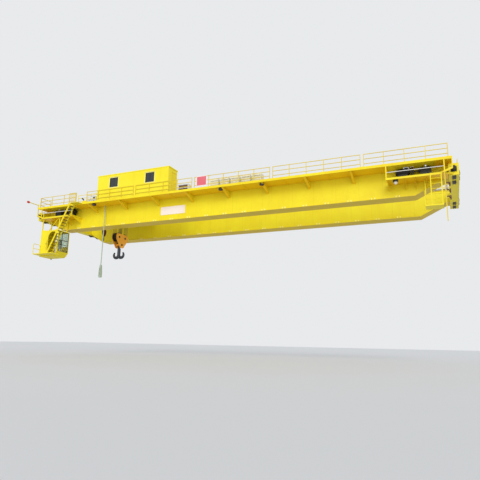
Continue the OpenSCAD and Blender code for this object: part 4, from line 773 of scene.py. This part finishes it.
def roomWindows():
    setup = {"windows": (-9.31, -5.53), "trim": (0.50, 2.27, 3.23, 0.05, -4.830, -4.810),
             "ledge": (0.54, (-4.884, 3.24), (-4.814, 3.252)), "bar": (0.012, (-4.802, 2.32), (-4.785, 3.18))}
    trims, seals = Shape(), Shape()
    for x in setup["windows"]:
        half, *form = setup["trim"]
        trims.border(x - half, x + half, *form, 0.004)
        for shape, (half, low, high) in ((trims, setup["ledge"]), (seals, setup["bar"])):
            shape.box((x - half, *low), (x + half, *high), 0.003)
    # the trims in pale yellow, painted highlight
    trims.piece("window_trims", lugYellow, slot="yellow_paint")
    seals.piece("window_bars", darkEnamel, slot="dark_glass")


def roomSheets():  # roof edges and ribs, louvred vents in the rear wall, the door's frame
    setup = {"edges": (((-11.132, -4.836, 3.445), (-3.628, -4.824, 3.536)),
                       ((-11.132, -3.434, 3.445), (-3.628, -3.422, 3.536)),
                       ((-11.132, -4.824, 3.445), (-11.12, -3.434, 3.536)),
                       ((-3.64, -4.824, 3.445), (-3.628, -3.434, 3.536))),
             "roof": (-7.38, -4.129, 3.53), "ribs": (8, 7.42),
             "rib": ((-0.02, -0.675, 0), (0.02, 0.675, 0.022)), "vents": (-9.2, -5.6),
             "vent": (0.40, 2.41, 2.99, 0.04, -3.464, -3.434), "slats": (11, 0.45),
             "slat": ((-0.36, 0, 0), (-0.36, -0.03, 0), (-0.36, 0, 0.028)), "slatLong": (0.72, 0, 0),
             "slatAt": (-3.464, 2.69),
             "door": (((-3.65, -4.44, 3.15), (-3.63, -3.64, 3.19)),
                      ((-3.65, -4.44, 1.22), (-3.63, -4.40, 3.15)),
                      ((-3.65, -3.68, 1.22), (-3.63, -3.64, 3.15)))}
    shape = Shape().boxes(setup["edges"], 0.003)
    shape.rows(Shape().box(*setup["rib"], 0.005), seat(setup["roof"]), roomYellow, *setup["ribs"])
    slat = Shape().plate(setup["slat"], (0, 0, 0), setup["slatLong"])
    half, *form = setup["vent"]
    for x in setup["vents"]:
        shape.border(x - half, x + half, *form, 0.004)
        place = seat((x, *setup["slatAt"]), (0, 1, 0), (-1, 0, 0))
        shape.rows(slat, place, roomYellow, 1, 0.0, *setup["slats"])
    shape.boxes(setup["door"], 0.003)
    shape.piece("room_trims", roomYellow, slot="yellow_paint")


def signBoards():
    setup = {"plate": ((-5.12, -3.482, -0.31), (-2.73, -3.47, 0.40), 0.005),
             "rim": (-5.12, -2.73, -0.31, 0.40, 0.03, -3.490, -3.480, 0.003),
             "plateBolts": ((-3.925, -3.49, 0.045), (0, -1, 0), 4, 2.36, 2, 0.68, 0.012),
             "board": ((-0.93, -4.906, 1.36), (0.00, -4.89, 2.20), 0.006),
             "face": ((-0.88, -4.912, 1.41), (-0.05, -4.904, 2.15), 0.004),
             "boardBolts": ((-0.465, -4.906, 1.78), (0, -1, 0), 2, 0.88, 2, 0.79, 0.012)}
    plate = Shape().box(*setup["plate"]).border(*setup["rim"])
    plate.piece("web_plate", boardWhite, slot="white_paint")
    Shape().box(*setup["board"]).piece("railing_board", boardWhite, slot="white_paint")
    Shape().box(*setup["face"]).piece("railing_board_face", boardRed, slot="white_paint")
    bolts = Shape()
    boltRows(bolts, *setup["plateBolts"])
    boltRows(bolts, *setup["boardBolts"])
    bolts.piece("board_bolts", boltSteel, slot="rail_steel")


def stairGate():
    setup = {"border": (-14.21, -13.42, 1.22, 2.24, 0.04, -4.923, -4.887, 0.005),
             "middle": (-13.815, -4.905, 1.73), "rod": ((0, 0, -0.48), (0, 0, 0.48), 0.011, 10),
             "rods": (7, 0.61), "bar": ((-0.365, 0, 0), (0.365, 0, 0), 0.009, 10), "bars": (5, 0.7)}
    gate = Shape().border(*setup["border"])
    gate.rows(Shape().bar(*setup["rod"]), seat(setup["middle"]), railYellow, *setup["rods"])
    place = seat(setup["middle"], (0, -1, 0))
    gate.rows(Shape().bar(*setup["bar"]), place, railYellow, 1, 0.0, *setup["bars"])
    gate.piece("stair_gate", railYellow, slot="yellow_paint")


def walkwayBoxes():
    setup = {"box": ((-12.76, -4.76, 1.13), (-12.32, -4.50, 1.42), 0.012),
             "lid": ((-12.73, -4.772, 1.16), (-12.35, -4.76, 1.39), 0.005),
             "post": ((-12.70, -4.66, 1.42), (-12.70, -4.66, 1.60), 0.035, 16),
             "horn": ((-12.70, -4.66, 1.56), (-12.82, -4.74, 1.66), 0.045, 18, 0.075, 0.006)}
    box = Shape().box(*setup["box"]).box(*setup["lid"])
    box.piece("junction_box", craneYellow, slot="yellow_paint")
    horn = Shape().bar(*setup["post"]).bar(*setup["horn"])
    horn.piece("walkway_horn", darkEnamel, slot="dark_paint")


def slatted(setup, finish):  # boxes with slats across their faces
    shape = Shape().boxes(setup["boxes"], setup["soft"])
    slat = Shape().box(*setup["slat"])
    for at in setup["slatsAt"]:
        shape.rows(slat, seat(at, (0, -1, 0)), finish, 1, 0.0, *setup["slats"])
    return shape


def controlPanels():
    setup = {"boxes": (((-2.71, -4.66, 1.20), (-1.85, -4.642, 1.44)),
                       ((-2.71, -4.66, 1.48), (-1.85, -4.642, 1.70))), "soft": 0.004,
             "slat": ((-0.39, -0.010, 0), (0.39, 0.010, 0.012), 0.003), "slats": (4, 0.15),
             "slatsAt": ((-2.28, -4.66, 1.32), (-2.28, -4.66, 1.59)),
             "rail": ((-2.71, -4.69, 1.44), (-1.85, -4.66, 1.48), 0.005)}
    slatted(setup, panelBrown).piece("control_box_panels", panelBrown, slot="aux_red")
    Shape().box(*setup["rail"]).piece("control_box_rail", whiteEnamel, slot="white_paint")


def coolerFittings():
    setup = {"boxes": (((-11.60, -4.704, 1.15), (-11.41, -4.698, 1.35)),
                       ((-11.60, -4.704, 1.48), (-11.41, -4.698, 1.68))), "soft": 0.002,
             "slat": ((-0.085, -0.006, 0), (0.085, 0.006, 0.010)), "slats": (8, 0.17),
             "slatsAt": ((-11.505, -4.704, 1.25), (-11.505, -4.704, 1.58)),
             "front": ((-12.23, -4.710, 1.17), (-11.64, -4.70, 1.71), 0.006), "fan": (-11.935, -4.71, 1.44),
             "spoke": ((-0.09, -0.004, 0), (0.09, 0.004, 0.012)), "spokes": {"Count": 24, "Radius": 0.115}}
    slatted(setup, darkEnamel).piece("cooler_vents", darkEnamel, slot="dark_paint")
    front = Shape().box(*setup["front"])
    place = seat(setup["fan"], (0, -1, 0))
    front.lay(Shape().box(*setup["spoke"]), inRing, place, whiteEnamel, **setup["spokes"])
    front.piece("cooler_front", whiteEnamel, slot="white_paint")


# dark strips on the faces of the resistor boxes: painted shade standing for the gaps between their sections
def resistorGaps():
    setup = {"strip": ((-0.30, -0.008, 0), (0.30, 0.008, 0.004)), "layout": (5, 3.66, 3, 0.4),
             "faces": (((2.37, -4.611, 1.53), -1), ((2.37, -4.05, 1.53), 1))}
    strip = Shape().box(*setup["strip"])
    shape = Shape()
    for at, way in setup["faces"]:
        shape.rows(strip, seat(at, (0, way, 0), (-way, 0, 0)), darkEnamel, *setup["layout"])
    shape.piece("resistor_gaps", darkEnamel, slot="dark_paint")


def cabFittings():
    setup = {"stem": ((-17.1, -3.5, -3.45), (-17.1, -3.5, -3.48), 0.025, 12),
             "mouth": ((-17.1, -3.5, -3.48), (-17.1, -3.5, -3.56), 0.03, 16, 0.055, 0.005),
             "latch": ((-16.69, -4.712, -2.36), (-16.61, -4.70, -2.20), 0.004),
             "bar": ((-16.57, -4.76, -2.9), (-16.57, -4.76, -1.9), 0.016, 12), "ends": (-2.85, -1.95),
             "end": ((-16.57, -4.76), (-16.57, -4.70)),
             "edges": (((-17.392, -3.30, -1.075), (-15.35, -3.288, -1.045)),
                       ((-17.392, -4.70, -1.075), (-17.38, -3.30, -1.045)),
                       ((-17.392, -3.30, -3.31), (-15.35, -3.288, -3.28)),
                       ((-17.392, -4.70, -3.31), (-17.38, -3.30, -3.28)),
                       ((-17.392, -4.70, -3.31), (-17.38, -4.67, -1.05)))}
    dark = Shape().bar(*setup["stem"]).bar(*setup["mouth"]).box(*setup["latch"])
    dark.piece("cab_horn", darkEnamel, slot="dark_paint")
    bright = Shape().bar(*setup["bar"])
    outer, inner = setup["end"]
    for z in setup["ends"]:
        bright.bar((*outer, z), (*inner, z), 0.013, 10)
    bright.piece("cab_grab_bar", railYellow, slot="yellow_paint")
    trim = Shape().boxes(setup["edges"], 0.003)  # folded sheet edges
    trim.piece("cab_trims", craneYellow, slot="yellow_paint")


def railingSockets():
    setup = {"near": ((-17.72, -13.39), (-12.20, -7.10), (-6.90, -1.36), (-1.16, 5.37), (5.57, 12.10),
                      (12.30, 17.72)),
             "start": -17.72, "sections": 5, "step": 7.108, "gap": 0.2, "y": 4.858, "z": 1.25,
             "pitch": 1.3, "in": 0.04, "socket": ((-0.045, -0.034, 0), (0.045, 0.034, 0.03), 0.005)}
    seed = Shape().box(*setup["socket"])
    starts = [setup["start"] + k * setup["step"] for k in range(setup["sections"])]
    far = [(a, a + setup["step"] - setup["gap"]) for a in starts]
    shape = Shape()
    for y, runs in ((-setup["y"], setup["near"]), (setup["y"], far)):
        for a, b in runs:
            count = max(1, round((b - a) / setup["pitch"])) + 1
            place = seat(((a + b) / 2, y, setup["z"]))
            shape.rows(seed, place, craneYellow, count, b - a - setup["in"])
    shape.piece("railing_sockets", craneYellow, slot="yellow_paint")


def stairBolts():
    setup = {"foot": (-15.76, 0, -3.31), "head": (-13.56, 0, 1.10), "steps": 17, "shift": 0.085,
             "sides": ((-5.50, -1), (-4.90, 1)), "bolt": 0.013, "pair": 0.05}
    shape = Shape()
    run = Vector(setup["head"]) - Vector(setup["foot"])
    share = 1 / (setup["steps"] + 1)
    middle = Vector(setup["foot"]) + Vector((setup["shift"], 0, 0)) + run / 2
    for y, way in setup["sides"]:
        place = seat((middle.x, y, middle.z), (0, way, 0), run)
        shape.lay(boltSeed(setup["bolt"]), inRows, place, boltSteel, Across=setup["steps"],
                  Width=run.length * (1 - 2 * share), Along=2, Length=setup["pair"], Turn=3.1, Draw=3)
    shape.piece("stair_bolts", boltSteel, slot="rail_steel")


def collectorFittings():
    setup = {"x": (17.52, 17.60), "y": -4.935, "arms": (-0.64, -1.09, -1.54),
             "rings": ((0, 0.11, 0.022, 12), (0.012, 0.028, 0.038, 14), (0.046, 0.062, 0.038, 14),
                       (0.080, 0.096, 0.038, 14))}
    shape = Shape()
    for z in setup["arms"]:
        for x in setup["x"]:
            for low, high, *form in setup["rings"]:  # a ribbed insulator
                shape.bar((x, setup["y"], z + low), (x, setup["y"], z + high), *form)
    shape.piece("collector_insulators", panelBrown, slot="aux_red")


def drumRope():
    setup = {"start": -12.97, "y": 1.377, "z": 2.512,
             "winding": {"Turns": 22.0, "Radius": 0.502, "Rise": 1.408, "Rope": 0.014}}
    shape = Shape()
    for way in (-1, 1):
        place = seat((setup["start"], way * setup["y"], setup["z"]), (1, 0, 0), (0, 0, 1))
        shape.lay(Shape(), inTurns, place, greyRope, **setup["winding"])
    shape.piece("drum_rope", greyRope, body="trolley", slot="wire_rope", smooth=True)


def hoistFittings():
    setup = {"middle": -11.42, "motor": (2.23, 2.252),
             "fin": ((-0.008, -0.0035, -0.33), (0.03, 0.0035, 0.33)),
             "fins": {"Count": 34, "Radius": 0.217}, "back": -11.78, "cowl": (0.02, 0.18, 28, 0.006),
             "drum": (1.377, 2.512), "faces": ((-10.78, -1), (-10.42, 1)), "cover": (0.025, 0.24, 32, 0.006),
             "coverRing": (10, 0.205, 0.018), "lid": (-10.60, 2.02, 2.532),
             "lidBolts": (4, 0.30, 3, 0.80, 0.018), "bearing": -13.42, "bearingRing": (8, 0.145, 0.016)}
    fins, bolts = Shape(), Shape()
    seed = Shape().box(*setup["fin"])
    for way in (-1, 1):
        y, z = setup["motor"]
        place = seat((setup["middle"], way * y, z), (1, 0, 0), (0, 0, 1))
        fins.lay(seed, inRing, place, hoistEnamel, **setup["fins"])
        disc(fins, (setup["back"], way * y, z), -1, *setup["cowl"])
        y, z = setup["drum"]
        for x, side in setup["faces"]:  # covers on the gearbox bearings
            rim = disc(fins, (x, way * y, z), side, *setup["cover"])
            boltRing(bolts, rim, side, *setup["coverRing"])
        boltRing(bolts, (setup["bearing"], way * y, z), -1, *setup["bearingRing"])
        x, y, z = setup["lid"]
        boltRows(bolts, (x, way * y, z), (0, 0, 1), *setup["lidBolts"])
    fins.piece("hoist_fins", hoistEnamel, body="trolley", slot="hoist_paint")
    bolts.piece("hoist_bolts", boltSteel, body="trolley", slot="rail_steel")


def ropeFalls():  # the rope falls as copies of the model's ropes, which are then hidden
    falls = {"main_falls": ("main_ropes", "main_block"), "aux_falls": ("aux_ropes", "aux_block")}
    for name, (node, block) in falls.items():
        data = nodes[node].data.copy()
        data.transform(nodes[node].matrix_world)
        made = stand(name, data)
        paint(made, greyRope)
        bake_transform(made)
        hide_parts(node)


def pendantButtons():
    setup = {"panel": (-10.88, -3.875, -5.0), "collar": ((0, 0, 0), (0, 0, 0.012), 0.024, 14),
             "button": ((0, 0, 0.012), (0, 0, 0.024), 0.018, 14, None, 0.003), "layout": (2, 0.10, 6, 0.6)}
    seed = Shape().bar(*setup["collar"]).bar(*setup["button"])
    shape = Shape().rows(seed, seat(setup["panel"], (0, -1, 0)), darkEnamel, *setup["layout"])
    shape.piece("pendant_buttons", darkEnamel, slot="dark_paint")


aimCamera()
lightStudio()
paintNodes()
print("camera, light, finishes and cable in place")
girderLugs()
railClips()
girderEndBolts()
carriageFittings()
driveFittings()
print("girders, carriages and travel drives fitted out")
floodLamps()
driveCovers()
roomWindows()
roomSheets()
signBoards()
stairGate()
walkwayBoxes()
controlPanels()
coolerFittings()
resistorGaps()
cabFittings()
railingSockets()
stairBolts()
collectorFittings()
print("room, walkways and cab fitted out")
drumRope()
hoistFittings()
ropeFalls()
blockFittings()
pendantButtons()
print("trolley and hook block fitted out")
